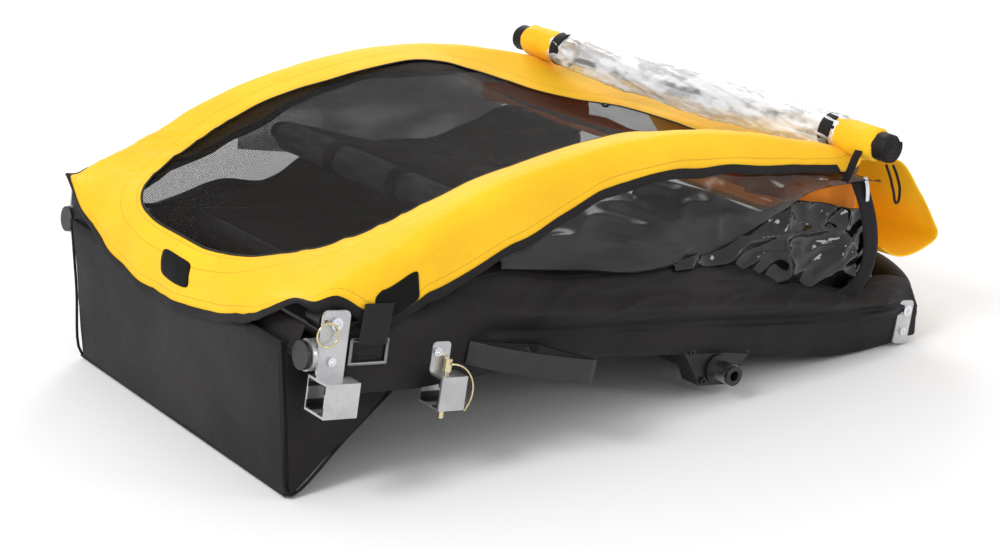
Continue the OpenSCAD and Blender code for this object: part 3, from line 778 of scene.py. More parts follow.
@dataclass
class Studio:
    """Floor, lights and camera."""

    target_back: tuple[float, float, float] = (0.7653, -0.5350, 0.3579)
    camera_at: tuple[float, float, float] = (2.0875, -1.5090, 0.976)
    lens: float = 75.4
    shift: Pair = (0.02108, 0.07197)
    sky: float = 0.88

    def _light(self, name: str, at: Colour, aim: Colour, size: float, power: float) -> None:
        """Adds a soft square light."""
        lamp = bpy.data.lights.new(name, "AREA")
        lamp.size = size
        lamp.energy = power
        holder = bpy.data.objects.new(name, lamp)
        holder.location = at
        holder.rotation_euler = (Vector(aim) - Vector(at)).to_track_quat("-Z", "Y").to_euler()
        bpy.context.scene.collection.objects.link(holder)

    def build(self, finish: bpy.types.Material) -> None:
        """Makes the stage.

        Args:
            finish: The floor's finish.
        """
        bm = bmesh.new()
        bmesh.ops.create_grid(bm, x_segments=2, y_segments=2, size=14.0)
        mesh = bpy.data.meshes.new("studio_floor")
        bm.to_mesh(mesh)
        bm.free()
        floor = joined("studio_floor", mesh, finish)
        floor.location.z = -0.0006
        world = bpy.data.worlds.new("studio")
        world.use_nodes = True
        world.node_tree.nodes["Background"].inputs["Color"].default_value = (1.0, 1.0, 1.0, 1.0)
        world.node_tree.nodes["Background"].inputs["Strength"].default_value = self.sky
        bpy.context.scene.world = world
        self._light("key", (0.6, -2.6, 2.6), (0.0, 0.0, 0.15), 1.2, 58.0)
        self._light("rim", (-2.2, 1.6, 2.0), (0.0, 0.1, 0.2), 1.2, 34.0)
        self._light("strip", (2.6, 1.6, 1.1), (0.2, 0.1, 0.15), 0.7, 12.0)
        lens = bpy.data.cameras.new("camera")
        lens.lens = self.lens
        lens.sensor_width = 36.0
        lens.shift_x, lens.shift_y = self.shift
        lens.clip_end = 60.0
        camera = bpy.data.objects.new("camera", lens)
        camera.location = self.camera_at
        camera.rotation_euler = (-Vector(self.target_back)).to_track_quat("-Z", "Y").to_euler()
        bpy.context.scene.collection.objects.link(camera)
        bpy.context.scene.camera = camera
        bpy.context.scene.view_settings.view_transform = "Standard"


@dataclass
class Hardware:
    """Finishes for the frame's own metal and plastic parts."""

    finishes: Finishes

    def build(self) -> None:
        """Dresses each part of the frame."""
        f = self.finishes
        dress = {
            f.tube: ("side_rail_left", "side_rail_right", "front_cross_tube", "mid_cross_tube",
                     "rear_cross_tube", "axle_beam", "canopy_hoop", "seat_hoop"),
            f.plate: ("front_bracket_left", "front_bracket_right", "rear_bracket_left",
                      "rear_bracket_right", "tow_receiver_rear"),
            f.zinc: ("frame_screws", "hoop_pivot_bolts", "seat_pivot_bolts", "pivot_spacers"),
            f.brass: ("hitch_pin", "hitch_pin_ring", "tether_ring"),
            f.dark_wire: ("tension_ring_left", "tension_ring_right"),
            f.turned: ("axle_sleeve_left", "axle_sleeve_right"),
            f.bolt: ("housing_bolts",),
            f.plastic: ("rail_front_caps", "rail_rear_plugs", "front_receiver_liners",
                        "rear_receiver_liners", "axle_housing_left", "axle_housing_right",
                        "axle_bush_left", "axle_bush_right", "wheel_guard_left",
                        "wheel_guard_right", "hoop_end_left", "hoop_end_right", "seat_end_left",
                        "seat_end_right", "harness_buckle"),
        }
        for finish, nodes in dress.items():
            for name in nodes:
                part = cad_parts[name]
                if not part.material_slots:
                    part.data.materials.append(finish)
                for holder in part.material_slots:
                    holder.material = finish


@dataclass
class Cover:
    """The yellow cover over the canopy hoop: border, net, bound hem and patches."""

    finishes: Finishes
    arm_x: float = 284.0
    side_reach: float = 16.0
    net_half: float = 228.0
    net_length: float = 752.0
    net_middle: float = 424.0
    roundness: float = 3.4
    length: float = 879.0
    hem_width: float = 10.0

    def __post_init__(self) -> None:
        """Draws the cover's lines."""
        path = ((-492, 189), (-490, 204), (-481, 222), (-452, 239), (-417, 251), (-359, 270),
                (-286, 296), (-211, 318), (-88, 335), (8, 336), (90, 327), (158, 313),
                (228, 294), (284, 279), (337, 260))
        marks = [0.0]
        for (y0, z0), (y1, z1) in zip(path, path[1:]):
            marks.append(marks[-1] + math.hypot(y1 - y0, z1 - z0))
        stretch = self.length / marks[-1]
        marks = [-42.0, -20.0] + [m * stretch for m in marks]
        path = ((-498, 147), (-495.5, 169), *path)
        self.path_y = Profile(tuple((m, p[0]) for m, p in zip(marks, path)))
        self.path_z = Profile(tuple((m, p[1]) for m, p in zip(marks, path)))
        self.front_hem = Profile(((-203, 0), (-148, 22), (-58, 36), (31, 34), (115, 23), (185, 5),
                                  (205, 0)))
        self.sag = Profile(((-460, 0), (-420, 4), (-380, 9), (-300, 16), (-240, 20), (-189, 23),
                            (-128, 26), (-57, 22), (0, 17), (53, 27), (90, 44), (171, 56),
                            (225, 46), (262, 30), (289, 20), (320, 6), (337, 2)))
        self.side = Profile(((0, 10), (36, 18), (64, 24), (90, 42), (112, 64), (140, 84),
                             (160, 88), (200, 88), (241, 92), (320, 90), (400, 76), (444, 66),
                             (540, 62), (623, 60), (692, 56), (762, 50), (820, 46), (879, 45)))
        self.cache: dict[float, tuple[Pair, Pair]] = {}
        count = 720
        ring = [Vector(self._ends(i / count)[0]) for i in range(count + 1)]
        self.runs = [0.0]
        for a, b in zip(ring, ring[1:]):
            self.runs.append(self.runs[-1] + (b - a).length)

    def point(self, p: float, q: float, lift: float = 0.0) -> Vector:
        """Gives a point of the cloth.

        Args:
            p: Distance across the cloth from its middle line.
            q: Distance back along the cloth from its front hem.
            lift: Height over the cloth.

        Returns:
            The point in millimetres.
        """
        if lift:
            here = self.point(p, q)
            normal = (self.point(p + 2, q) - here).cross(self.point(p, q + 2) - here).normalized()
            return here + normal * lift
        y, z = self.path_y(q), self.path_z(q)
        reach = abs(p)
        x = min(reach, self.arm_x)
        slack = self.sag(y) * max(0.0, 1 - (x / 270) ** 3.4)
        z += 2.5 * step(200, 262, x) * step(150, 220, q) - slack
        over = max(0.0, reach - self.arm_x)
        depth = self.side(q)
        radius = min(24.0, depth / 1.45)
        angle = min(over / radius, math.pi / 2)
        fall = max(0.0, over - radius * math.pi / 2)
        share = over / depth if depth else 0
        x += self.side_reach * math.sin(angle) + 5 * share**2 * step(100, 200, q)
        z -= radius * (1 - math.cos(angle)) + fall
        corner = step(185, 288, reach) * (1 - step(0, 62, q))
        z += 33 * corner
        y += 8 * corner
        # Soft rolls on the border, sharper puckers towards the hem.
        edge = step(0.25, 1.0, share) + 0.6 * (1 - step(0, 80, q))
        x += 3.2 * edge * wave(q / 46, 2.0, 4.1 + (p > 0)) * step(60, 120, q)
        y += 4.0 * wave(p / 58, 0.3, 9.3) * (1 - step(0, 60, q))
        z += 1.8 * abs(wave(p / 90, q / 70, 1.7)) + 1.1 * crease(p / 60, q / 95, 6.4) * (0.4 + edge)
        z += 5.0 * wave(q / 55, 0.0, 8.8 + (p > 0)) * step(0.6, 1.0, share) * step(120, 220, q)
        # Pulls that run from the corners of the net to the front corners.
        pull = step(0, 150, q) * (1 - step(150, 330, q)) * step(120, 200, x)
        z += 2.6 * pull * crease((x + q) / 40, (x - q) / 150, 12.0)
        return Vector((math.copysign(x, p) if p else 0.0, y, z))

    def _ends(self, a: float) -> tuple[Pair, Pair]:
        """Gives the outer and inner end of the border at a share of a turn."""
        turn = (2 * a - 0.5) * math.pi
        c, s = math.cos(turn), math.sin(turn)
        n = self.roundness
        inner = (abs(c) ** n + abs(s) ** n) ** (-1 / n)
        outer = (abs(c) ** 13 + abs(s) ** 13) ** (-1 / 13)
        back = self.net_middle if s < 0 else self.length - self.net_middle
        q = min(self.length, max(0.0, self.net_middle + back * s * outer))
        p = (self.arm_x + self.side(q)) * c * outer
        if s < 0:
            q -= self.front_hem(p) * (1 - step(0, 120, q))
        return (p, q), (self.net_half * c * inner, self.net_middle + self.net_length / 2 * s * inner)

    def _ring(self, a: float, from_edge: float) -> Pair:
        """Gives the place on the cloth at a share of a turn and a distance from the hem."""
        if a not in self.cache:
            self.cache[a] = self._ends(a)
        outer, inner = (Vector(end) for end in self.cache[a])
        return tuple(outer + (inner - outer).normalized() * from_edge)

    def _run(self, a: float) -> float:
        """Gives the distance along the hem at a share of a turn."""
        at = a * (len(self.runs) - 1)
        low = min(int(at), len(self.runs) - 2)
        return self.runs[low] + (self.runs[low + 1] - self.runs[low]) * (at - low)

    def _depth(self, a: float) -> float:
        """Gives the width of the border at a share of a turn."""
        outer, inner = self._ends(a)
        return (Vector(outer) - Vector(inner)).length

    def _border(self) -> bpy.types.Object:
        """Makes the yellow border."""
        depth = [self._depth(i / 480) for i in range(481)]

        def wide(a: float) -> float:
            """Gives the border's width there."""
            return depth[min(480, round(a * 480))]

        return sheet("cover_border", (480, 30),
                     lambda a, b: self.point(*self._ring(a, b * wide(a))),
                     self.finishes.yellow, 1.3,
                     uv=lambda a, b: (self._run(a), b * wide(a)),
                     inner=lambda a, b: (self._run(a), (1 - b) * wide(a)), closed=True)

    def _net(self) -> bpy.types.Object:
        """Makes the net in the border's opening."""

        def flat(a: float, b: float) -> Pair:
            """Gives the place on the cloth."""
            u, v = 2 * a - 1, 2 * b - 1
            size = math.hypot(u, v)
            if size < 1e-9:
                return 0.0, self.net_middle
            c, s = u / size, v / size
            n = self.roundness
            k = max(abs(u), abs(v)) * (abs(c) ** n + abs(s) ** n) ** (-1 / n) * 1.012
            return self.net_half * c * k, self.net_middle + self.net_length / 2 * s * k

        return sheet("cover_net", (90, 150),
                     lambda a, b: self.point(*flat(a, b)) - Vector((0, 0, 1.3)),
                     self.finishes.net, 0.5, uv=flat)

    def _hem(self) -> bpy.types.Object:
        """Makes the black tape that binds the hem, from one rear corner to the other."""
        first, last = 0.635, 1.365 - 1.0

        def turn(a: float) -> float:
            """Gives the share of a turn."""
            return (first + (1 + last - first) * a) % 1.0

        def place(a: float, b: float) -> Vector:
            """Folds the tape round the hem."""
            share = abs(2 * b - 1)
            lift = 1.6 * min(1.0, 5 * share) * (1 if b < 0.5 else -1)
            p, q = self._ring(turn(a), -1.2 + (self.hem_width + 1.2) * share)
            return self.point(p, q, lift)

        return sheet("cover_hem_tape", (520, 14), place, self.finishes.binding, 0.9,
                     uv=lambda a, b: (a * 2600, b * 24))

    def _rim(self) -> bpy.types.Object:
        """Makes the thin black tape sewn round the net's opening."""
        depth = [self._depth(i / 360) for i in range(361)]

        def place(a: float, b: float) -> Vector:
            """Lays the tape on the inner edge."""
            wide = depth[min(360, round(a * 360))]
            p, q = self._ring(a, wide - 0.8 + 3.0 * b)
            return self.point(p, q, 0.7)

        return sheet("cover_net_tape", (360, 2), place, self.finishes.binding, 0.8,
                     uv=lambda a, b: (a * 1700, b * 5), closed=True)

    def _patch(self, name: str, p: Pair, q: Pair, material: bpy.types.Material,
               lift: float = 1.6, power: float = 9.0) -> bpy.types.Object:
        """Makes a patch with rounded corners, sewn on the cloth."""

        def place(a: float, b: float) -> Vector:
            """Gives a point of the patch."""
            u, v = 2 * a - 1, 2 * b - 1
            size = math.hypot(u, v) or 1.0
            k = max(abs(u), abs(v)) / size * (
                (abs(u) / size) ** power + (abs(v) / size) ** power + 1e-9) ** (-1 / power)
            drop = 1.2 * max(abs(u), abs(v)) ** 8
            return self.point((p[0] + p[1]) / 2 + (p[1] - p[0]) / 2 * u * k,
                              (q[0] + q[1]) / 2 + (q[1] - q[0]) / 2 * v * k, lift - drop * 0.5)

        return sheet(name, (16, 12), place, material, 1.0)

    def build(self) -> None:
        """Makes the cover's pieces."""
        start, end = Vector((0, -478, 215)), Vector((0, -418, 215))
        border = self._border()
        net = self._net()
        hem = self._hem()
        bend(border, "yellow_cloth", start, end, "canopy_cover")
        bend(net, "black_mesh", start, end, "mesh_screen")
        bend(hem, "webbing", start, end)
        bend(self._rim(), "webbing", start, end)
        hook = self._patch("cover_corner_hook_tape", (328, 362), (128, 186), self.finishes.hook)
        bend(hook, "black_cloth", start, end)
        badge = self._patch("cover_plain_badge", (-12, 58), (-4, 27), self.finishes.hook, 1.6, 6.0)
        bend(badge, "black_cloth", start, end)


@dataclass
class RainRoll:
    """The clear rain cover, rolled round its zip and held by two elastic bands."""

    finishes: Finishes
    middle: tuple[float, float, float] = (16.0, 284.0, 300.7)
    turn: float = 6.3
    tip: float = 2.3
    half: float = 338.0
    radius: float = 21.0
    band_x: float = 245.0

    def __post_init__(self) -> None:
        """Sets the roll's own axes."""
        self.axes = (Matrix.Translation(self.middle) @ Matrix.Rotation(math.radians(self.turn), 4, "Z")
                     @ Matrix.Rotation(math.radians(self.tip), 4, "Y"))

    def _outline(self, low: float, high: float, radius: float, step_by: float) -> list[Pair]:
        """Gives a closed outline between two ends."""
        count = max(4, int((high - low) / step_by))
        middle = [(low + (high - low) * i / count, radius) for i in range(count + 1)]
        return [(low, 0.0), (low, radius - 3.0), *middle[1:-1], (high, radius - 3.0), (high, 0.0)]

    def _crinkle(self, x: float, angle: float) -> float:
        """Gives the film's lumps and creases."""
        c, s = math.cos(angle), math.sin(angle)
        lump = 3.0 * noise.noise(Vector((x / 80, 1.4 * c, 1.4 * s)))
        fold = crease(x / 70 + 2 * c, 1.8 * s + x / 180, 3.3) * 3.0
        fine = crease(x / 30 + 3 * s, 3 * c, 7.7) * 0.8
        droop = 9 * max(0.0, math.cos(angle + 2.5)) ** 2 * (1 - abs(x / 265) ** 3)
        return lump + fold + fine + droop - 0.5

    def _spiral(self, side: Side) -> bpy.types.Object:
        """Makes the wound edge that shows at an end of the roll."""
        x = self.half - 1.0
        turns = [(3 + 4.6 * t / (2 * math.pi), t) for t in
                 (i * math.pi / 8 for i in range(50))]
        path = [self.axes @ Vector((side.value * x, r * math.cos(t), r * math.sin(t)))
                for r, t in turns]
        return rod(f"roll_wound_edge_{side.tag}", path, 1.5, self.finishes.lining)

    def build(self) -> None:
        """Makes the roll's pieces."""
        f = self.finishes
        film = lathe("roll_clear_film", self._outline(-262, 262, self.radius, 3.2), self.axes,
                     f.clear, 72, self._crinkle)
        settle(film, Body.CANOPY, "rain_film", "rain_cover_roll")
        core = lathe("roll_film_core", self._outline(-264, 264, self.radius - 9, 6.0), self.axes,
                     f.clear, 36, lambda x, t: self._crinkle(x + 90, t) * 0.5)
        settle(core, Body.CANOPY, "rain_film")
        zip_path = [self.axes @ Vector((x, -14.5 + 1.5 * wave(x / 60, 0, 2),
                                        8 * x / 258 + 2 + 2 * wave(x / 80, 0, 5)))
                    for x in range(-258, 259, 12)]
        tape = rod("roll_zip_tape", zip_path, 3.6, f.binding)
        settle(tape, Body.CANOPY, "webbing")
        trim = [Vector(p) for p in ((310, 284, 243), (315, 286, 256), (318, 292, 275),
                                    (318, 306, 292), (317, 322, 300), (315, 338, 297))]
        settle(strap("roll_end_trim", trim, Vector((1, 0.1, 0)), 11, f.binding, 1.6),
               Body.CANOPY, "webbing")
        for side in Side:
            sign = side.value
            low, high = sorted((sign * 236, sign * 318))
            sleeve = lathe(f"roll_sleeve_{side.tag}", self._outline(low, high, self.radius + 0.6, 4.0),
                           self.axes, f.yellow, 48,
                           lambda x, t: 1.3 * wave(x / 26, 2 * math.cos(t), math.sin(t))
                           + 1.5 * crease(x / 30, t, 2.0) - 1.0)
            settle(sleeve, Body.CANOPY, "yellow_cloth")
            low, high = sorted((sign * 296, sign * self.half))
            end = lathe(f"roll_end_{side.tag}", self._outline(low, high, self.radius - 3.2, 4.0),
                        self.axes, f.black, 48,
                        lambda x, t: 0.9 * wave(x / 18, 2 * math.cos(t), 2 * math.sin(t)))
            settle(end, Body.CANOPY, "black_cloth")
            settle(self._spiral(side), Body.CANOPY, "black_cloth")
            middle = sign * self.band_x
            band = lathe(f"roll_band_{side.tag}",
                         [(middle - 9, 15.0), (middle - 9, 22.4), (middle - 8, 23.2),
                          (middle, 22.8), (middle + 8, 23.2), (middle + 9, 22.4),
                          (middle + 9, 15.0)], self.axes, f.webbing, 48)
            if sign > 0:
                settle(band, Body.CANOPY, "webbing", "roll_straps")
            else:
                settle(band, Body.CANOPY, "webbing")


@dataclass
class SidePanels:
    """The black side cloth, folded over the rails, with the smoked window above it."""

    finishes: Finishes

    def __post_init__(self) -> None:
        """Draws the panels' lines."""
        self.top = Profile(((-444, 196), (-400, 198), (-342, 212), (-225, 226), (-142, 204),
                            (-24, 192), (68, 188), (132, 170), (190, 140), (261, 116), (330, 99),
                            (392, 92), (432, 80)))
        self.far_top = Profile(((-444, 190), (-400, 178), (-366, 176), (-270, 196), (-195, 182),
                                (-140, 208), (-60, 212), (68, 198), (132, 172), (190, 140),
                                (261, 116), (330, 99), (392, 92), (432, 80)))
        self.low = Profile(((-444, 126), (-342, 110), (-142, 98), (55, 62), (200, 30), (292, 7),
                            (392, 2), (432, 8)))
        self.film_low = Profile(((-235, 229), (-230, 227), (-110, 201), (-33, 184), (39, 184),
                                 (97, 191), (192, 220), (240, 236), (352, 232)))
        self.vinyl_top = Profile(((20, 190), (80, 200), (132, 210), (200, 226), (260, 216),
                                  (313, 199), (345, 192)))
        self.vinyl_low = Profile(((20, 170), (80, 168), (132, 150), (190, 122), (261, 98),
                                  (323, 88), (345, 90)))
        self.hem = Profile(((-235, 236), (-228, 235), (-145, 268), (-30, 286), (61, 279),
                            (140, 266), (222, 251), (308, 232), (352, 214)))

    def _side(self, side: Side) -> Place:
        """Gives the side cloth's shape."""

        def place(a: float, b: float) -> Vector:
            """Gives a point: a runs back along the rail, b goes down."""
            y = -444 + 876 * a
            top = (self.top if side is Side.LEFT else self.far_top)(y)
            low, rail = self.low(y), rail_z(y)
            z = top + (low - top) * b
            over = z - rail
            height = max(20.0, top - rail)
            x = RAIL_X + RAIL_R + 0.9
            if over > 12:
                t = min(1.0, (over - 12) / (height - 12))
                bulge = 11 * step(-300, -150, y) * (1 - step(360, 425, y))
                x += bulge * math.sin(math.pi * t) ** 0.8 - 24 * t**3
                angle = math.atan2(z - 52, 470 - y)
                fan = math.sin(angle * 46 + 1.3 * wave(y / 130, z / 60, 3.0)) * 0.5 + 0.5
                fold = 9.5 * (fan**1.6 - 0.4) * step(-330, -180, y)
                x += fold * math.sin(math.pi * min(1, t * 1.15)) * (1 - step(345, 415, y))
                x += 3.0 * crease(y / 90, z / 22, 5.0 + side.value) * math.sin(math.pi * t)
                ridge = z - (180 - 0.179 * (y + 226)) - 4 * wave(y / 120, 0, 3.0)
                long = math.exp(-(ridge / 13)**2) - math.exp(-((ridge + 24) / 10)**2)
                long += 0.8 * math.exp(-((ridge + 46) / 13)**2)
                x += 8 * long * step(-290, -190, y) * (1 - step(240, 330, y))
            elif over < -8:
                t = (-8 - over) / max(8.0, rail - 8 - low)
                x -= 9 * t**1.6 - 2.2 * wave(y / 60, z / 40, 8.0) * t
            x += 0.9 * wave(y / 34, z / 30, 1.0)
            return Vector((side.value * x, y, z))

        return place

    def _film(self, side: Side) -> Place:
        """Gives the window film's shape."""

        def place(a: float, b: float) -> Vector:
            """Gives a point: a runs back, b goes down from the hem."""
            y = -230 + 582 * a
            top, low = self.hem(y) + 14, self.film_low(y)
            z = top + (low - top) * b
            x = 296.5 + 5 * math.sin(math.pi * b) * step(0, 0.2, a) + 5 * b
            x += 2.6 * wave(y / 70, z / 34, 2.0) * math.sin(math.pi * b)
            x += 3.0 * crease(y / 60 + z / 45, z / 60 - y / 200, 4.0) * math.sin(math.pi * b)
            return Vector((side.value * x, y, z))

        return place

    def _vinyl(self, side: Side) -> Place:
        """Gives the shape of the crumpled black vinyl inside the window."""

        def place(a: float, b: float) -> Vector:
            """Gives a point: a runs back, b goes down."""
            y = 20 + 325 * a
            top, low = self.vinyl_top(y), self.vinyl_low(y)
            z = top + (low - top) * b
            x = 288 + 10 * math.sin(math.pi * b) + 6 * step(0.3, 1, b)
            x += 12 * crease(y / 95 + z / 80, z / 62 - y / 130, 2.0) * math.sin(math.pi * b) ** 0.5
            x += 5 * crease(y / 52 - z / 60, z / 40, 6.0)
            return Vector((side.value * x, y, z))

        return place

    def _lining(self, side: Side) -> Place:
        """Gives the shape of the cover's inner cloth that shows over the window."""

        def place(a: float, b: float) -> Vector:
            """Gives a point: a runs back, b goes down from the hem."""
            y = 150 + 190 * a
            z = self.hem(y) + 6 - (26 + 24 * a) * b
            return Vector((side.value * (276 + 3 * wave(y / 40, z / 20, 5.0)), y, z))

        return place

    def build(self) -> None:
        """Makes both sides."""
        f = self.finishes
        for side in Side:
            tag, sign = side.tag, side.value
            cloth = sheet(f"side_cloth_{tag}", (260, 70), self._side(side), f.black, 1.2)
            bend(cloth, "black_cloth", on_rail(500, 22), on_rail(500, 56), f"side_panel_{tag}")
            film = sheet(f"side_window_{tag}", (150, 36), self._film(side), f.smoked, 0.5)
            settle(film, Body.CANOPY, "window_film", f"window_{tag}")
            vinyl = sheet(f"side_vinyl_{tag}", (120, 50), self._vinyl(side), f.vinyl, 0.6)
            settle(vinyl, Body.CANOPY, "window_film")
            inside = sheet(f"side_backlit_{tag}", (40, 10), self._lining(side), f.backlit, 0.8)
            settle(inside, Body.CANOPY, "yellow_cloth")
            edge = [Vector((sign * x, y, z)) for x, y, z in
                    ((299, 318, 236), (305, 327, 208), (310, 334, 172), (312, 334, 138),
                     (311, 324, 110), (309, 302, 92), (307, 272, 86), (304, 244, 92))]

            def across(a: float) -> Vector:
                """Turns the strip's width as it curves forward."""
                turn = 0.5 * math.pi * step(0.4, 0.86, a)
                return Vector((0, math.cos(turn), -math.sin(turn)))

            border = strap(f"side_window_edge_{tag}", edge, across, 24, f.lining, 1.8)
            settle(border, Body.CANOPY, "webbing")
            puller = [Vector((sign * x, y, z)) for x, y, z in
                      ((303, 326, 240), (306, 327, 232), (307, 328, 220), (306, 329, 208))]
            settle(strap(f"zip_puller_{tag}", puller, Vector((0, 1, 0)), 6, f.zinc, 1.6),
                   Body.CANOPY, "webbing")


@dataclass
class RearCloth:
    """The yellow rear flap with its eyelet and elastic loop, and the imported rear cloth."""

    finishes: Finishes
    half: float = 288.0

    def __post_init__(self) -> None:
        """Draws the flap's line."""
        self.y = Profile(((0, 333), (0.15, 372), (0.28, 409), (0.48, 446), (0.66, 484), (0.7, 489),
                          (0.74, 483), (0.84, 446), (0.93, 415), (1, 388)))
        self.z = Profile(((0, 258), (0.15, 252), (0.28, 238), (0.48, 190), (0.66, 140), (0.7, 130),
                          (0.74, 121), (0.84, 110), (0.93, 112), (1, 128)))

    def _flap(self, a: float, b: float) -> Vector:
        """Gives a point of the flap: a goes across, b goes down."""
        u = 2 * a - 1
        x = self.half * u * (1 - 0.03 * b)
        fold = 5 * wave(u * 2.4, b * 1.5, 3.0) + 4.5 * crease(u * 3 + b, b * 1.2, 5.0)
        sag = 10 * (1 - u * u) * math.sin(math.pi * b)
        loose = step(0, 0.25, b) * (1 - 0.7 * step(0.55, 0.7, b))
        return Vector((x, self.y(b) + fold * 0.5 * loose, self.z(b) - sag + fold * loose * 0.7))

    def _bundle(self, a: float, b: float) -> Vector:
        """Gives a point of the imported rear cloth: a goes across, b winds round it."""
        u = 2 * a - 1
        turn = 2 * math.pi * b
        end = (1 - abs(u) ** 7) ** 0.5 if abs(u) < 1 else 0.0
        y = 440 + 31 * math.cos(turn) * end
        z = 52 + 46 * math.sin(turn) * end
        push = 5.5 * math.sin(turn * 3 + 2.6 * wave(u * 2.2, 0, 1)) + 3 * wave(u * 4, b * 5, 4)
        y += push * math.cos(turn) * end
        z += push * 0.7 * math.sin(turn) * end
        return Vector((284 * u, y, max(z, 2.5)))

    def build(self) -> None:
        """Makes the rear pieces."""
        f = self.finishes
        flap = sheet("rear_flap_cloth", (110, 44), self._flap, f.flap, 1.3)
        settle(flap, Body.CANOPY, "yellow_cloth", "rear_flap")
        bundle = sheet("rear_packed_cloth", (110, 60), self._bundle, f.black, 0.0, closed=False)
        settle(bundle, Body.BASE, "black_cloth", "rear_panel")
        inner = sheet("rear_inner_cloth", (60, 12),
                      lambda a, b: Vector((250 * (2 * a - 1), 205 + 125 * b,
                                           226 - 26 * b + 5 * wave(a * 9, b * 2, 3.0))),
                      f.backlit, 0.8)
        settle(inner, Body.CANOPY, "yellow_cloth")
        for side in Side:
            at = self._flap(0.5 + side.value * 0.475, 0.65)
            ring = [at + Vector((6 * math.cos(t), 3.6 * math.sin(t) + 1.2, -4.6 * math.sin(t) + 1.6))
                    for t in (i * math.pi / 6 for i in range(12))]
            settle(rod(f"flap_eyelet_{side.tag}", ring, 1.6, f.zinc, closed=True),
                   Body.CANOPY, "zinc_fastener")
            edge = Vector((side.value * 293, 372, 246))
            loop = [edge + Vector((side.value * d, y, z)) for d, y, z in
                    ((0, 0, 0), (5, 3, -14), (7, 9, -34), (6, 18, -52), (3, 25, -40), (0, 22, -20),
                     (-3, 16, -4))]
            settle(rod(f"flap_elastic_{side.tag}", loop, 1.8, f.webbing), Body.CANOPY, "webbing")


@dataclass
class Footwell:
    """The black cloth footwell with piped edges, and the yellow apron's black lining."""

    finishes: Finishes
    half: float = 262.0
    outline: tuple[Pair, ...] = ((-489, 1.5), (-489, 186), (-314, 152), (-322, 118))

    def _shell(self) -> bpy.types.Object:
        """Makes the footwell's cloth shell."""
        bm = bmesh.new()
        bmesh.ops.create_cube(bm, size=2.0)
        corners = {(-1, -1): self.outline[0], (-1, 1): self.outline[1],
                   (1, 1): self.outline[2], (1, -1): self.outline[3]}
        for vert in bm.verts:
            y, z = corners[(round(vert.co.y), round(vert.co.z))]
            vert.co = Vector((vert.co.x * self.half, y, z))
        top = [face for face in bm.faces if face.normal.z > 0.9 or face.calc_center_median().z > 165]
        bmesh.ops.delete(bm, geom=top, context="FACES_ONLY")
        edges = [e for e in bm.edges if not e.is_boundary]
        bmesh.ops.bevel(bm, geom=edges, offset=7, segments=3, profile=0.5, affect="EDGES",
                        material=-1)
        bmesh.ops.subdivide_edges(bm, edges=bm.edges, cuts=11, use_grid_fill=True)
        bmesh.ops.recalc_face_normals(bm, faces=bm.faces)
        layer = bm.loops.layers.uv.new("UVMap")
        for face in bm.faces:
            flat = max(range(3), key=lambda k: abs(face.normal[k]))
            u, v = [k for k in range(3) if k != flat]
            for loop in face.loops:
                loop[layer].uv = ((loop.vert.co[u] + 600) * MM, (loop.vert.co[v] + 600) * MM)
        bm.normal_update()
        for vert in bm.verts:
            co = vert.co
            edge = min(1.0, (self.half - abs(co.x)) / 60 if abs(vert.normal.y) > 0.6 else 1.0)
            soft = 3.2 * wave(co.x / 120, co.z / 80, 2.0) + 3.0 * crease(
                co.x / 150 + co.z / 60, co.z / 120 + co.y / 90, 7.0) + 1.2 * wave(
                co.x / 30, co.z / 42 + co.y / 40, 4.0)
            vert.co = co + vert.normal * min(3.5, soft * 0.8 * (0.35 + 0.65 * edge))
            vert.co.z = max(vert.co.z, 1.2)
            vert.co.y = max(vert.co.y, -489.5)
        for vert in bm.verts:
            vert.co *= MM
        mesh = bpy.data.meshes.new("footwell_shell")
        bm.to_mesh(mesh)
        bm.free()
        return joined("footwell_shell", mesh, self.finishes.black, 2.4)

    def build(self) -> None:
        """Makes the footwell."""
        f = self.finishes
        shell = self._shell()
        settle(shell, Body.BASE, "black_cloth", "footwell")
        (y0, z0), (y1, z1), _, (y3, z3) = self.outline
        for side in Side:
            x = side.value * (self.half + 0.5)
            path = [Vector((x, y1 - 0.5, z1)), Vector((x, y0 - 0.5, 100)),
                    Vector((x, y0 - 0.5, z0 + 6)), Vector((x, y0 + 7, z0 + 3)),
                    Vector((x, (y0 + y3) / 2, (z0 + z3) / 2)), Vector((x, y3, z3))]
            settle(rod(f"footwell_piping_{side.tag}", path, 1.8, f.binding), Body.BASE,
                   "black_cloth")
        low = [Vector((x, y0 - 0.3, z0 + 2.2)) for x in range(-262, 263, 40)]
        settle(rod("footwell_piping_front", low, 1.8, f.binding), Body.BASE, "black_cloth")

        def apron(a: float, b: float) -> Vector:
            """Gives a point of the strip between the footwell and the cover."""
            x = 284 * (2 * a - 1)
            bow = 2.0 * wave(x / 70, b, 6.0)
            return Vector((x, -483 + 12 * b**1.4 + bow * (1 - b), 172 + 36 * b))

        strip = sheet("front_apron_cloth", (90, 10), apron, f.black, 1.2)
        settle(strip, Body.BASE, "black_cloth", "front_apron")


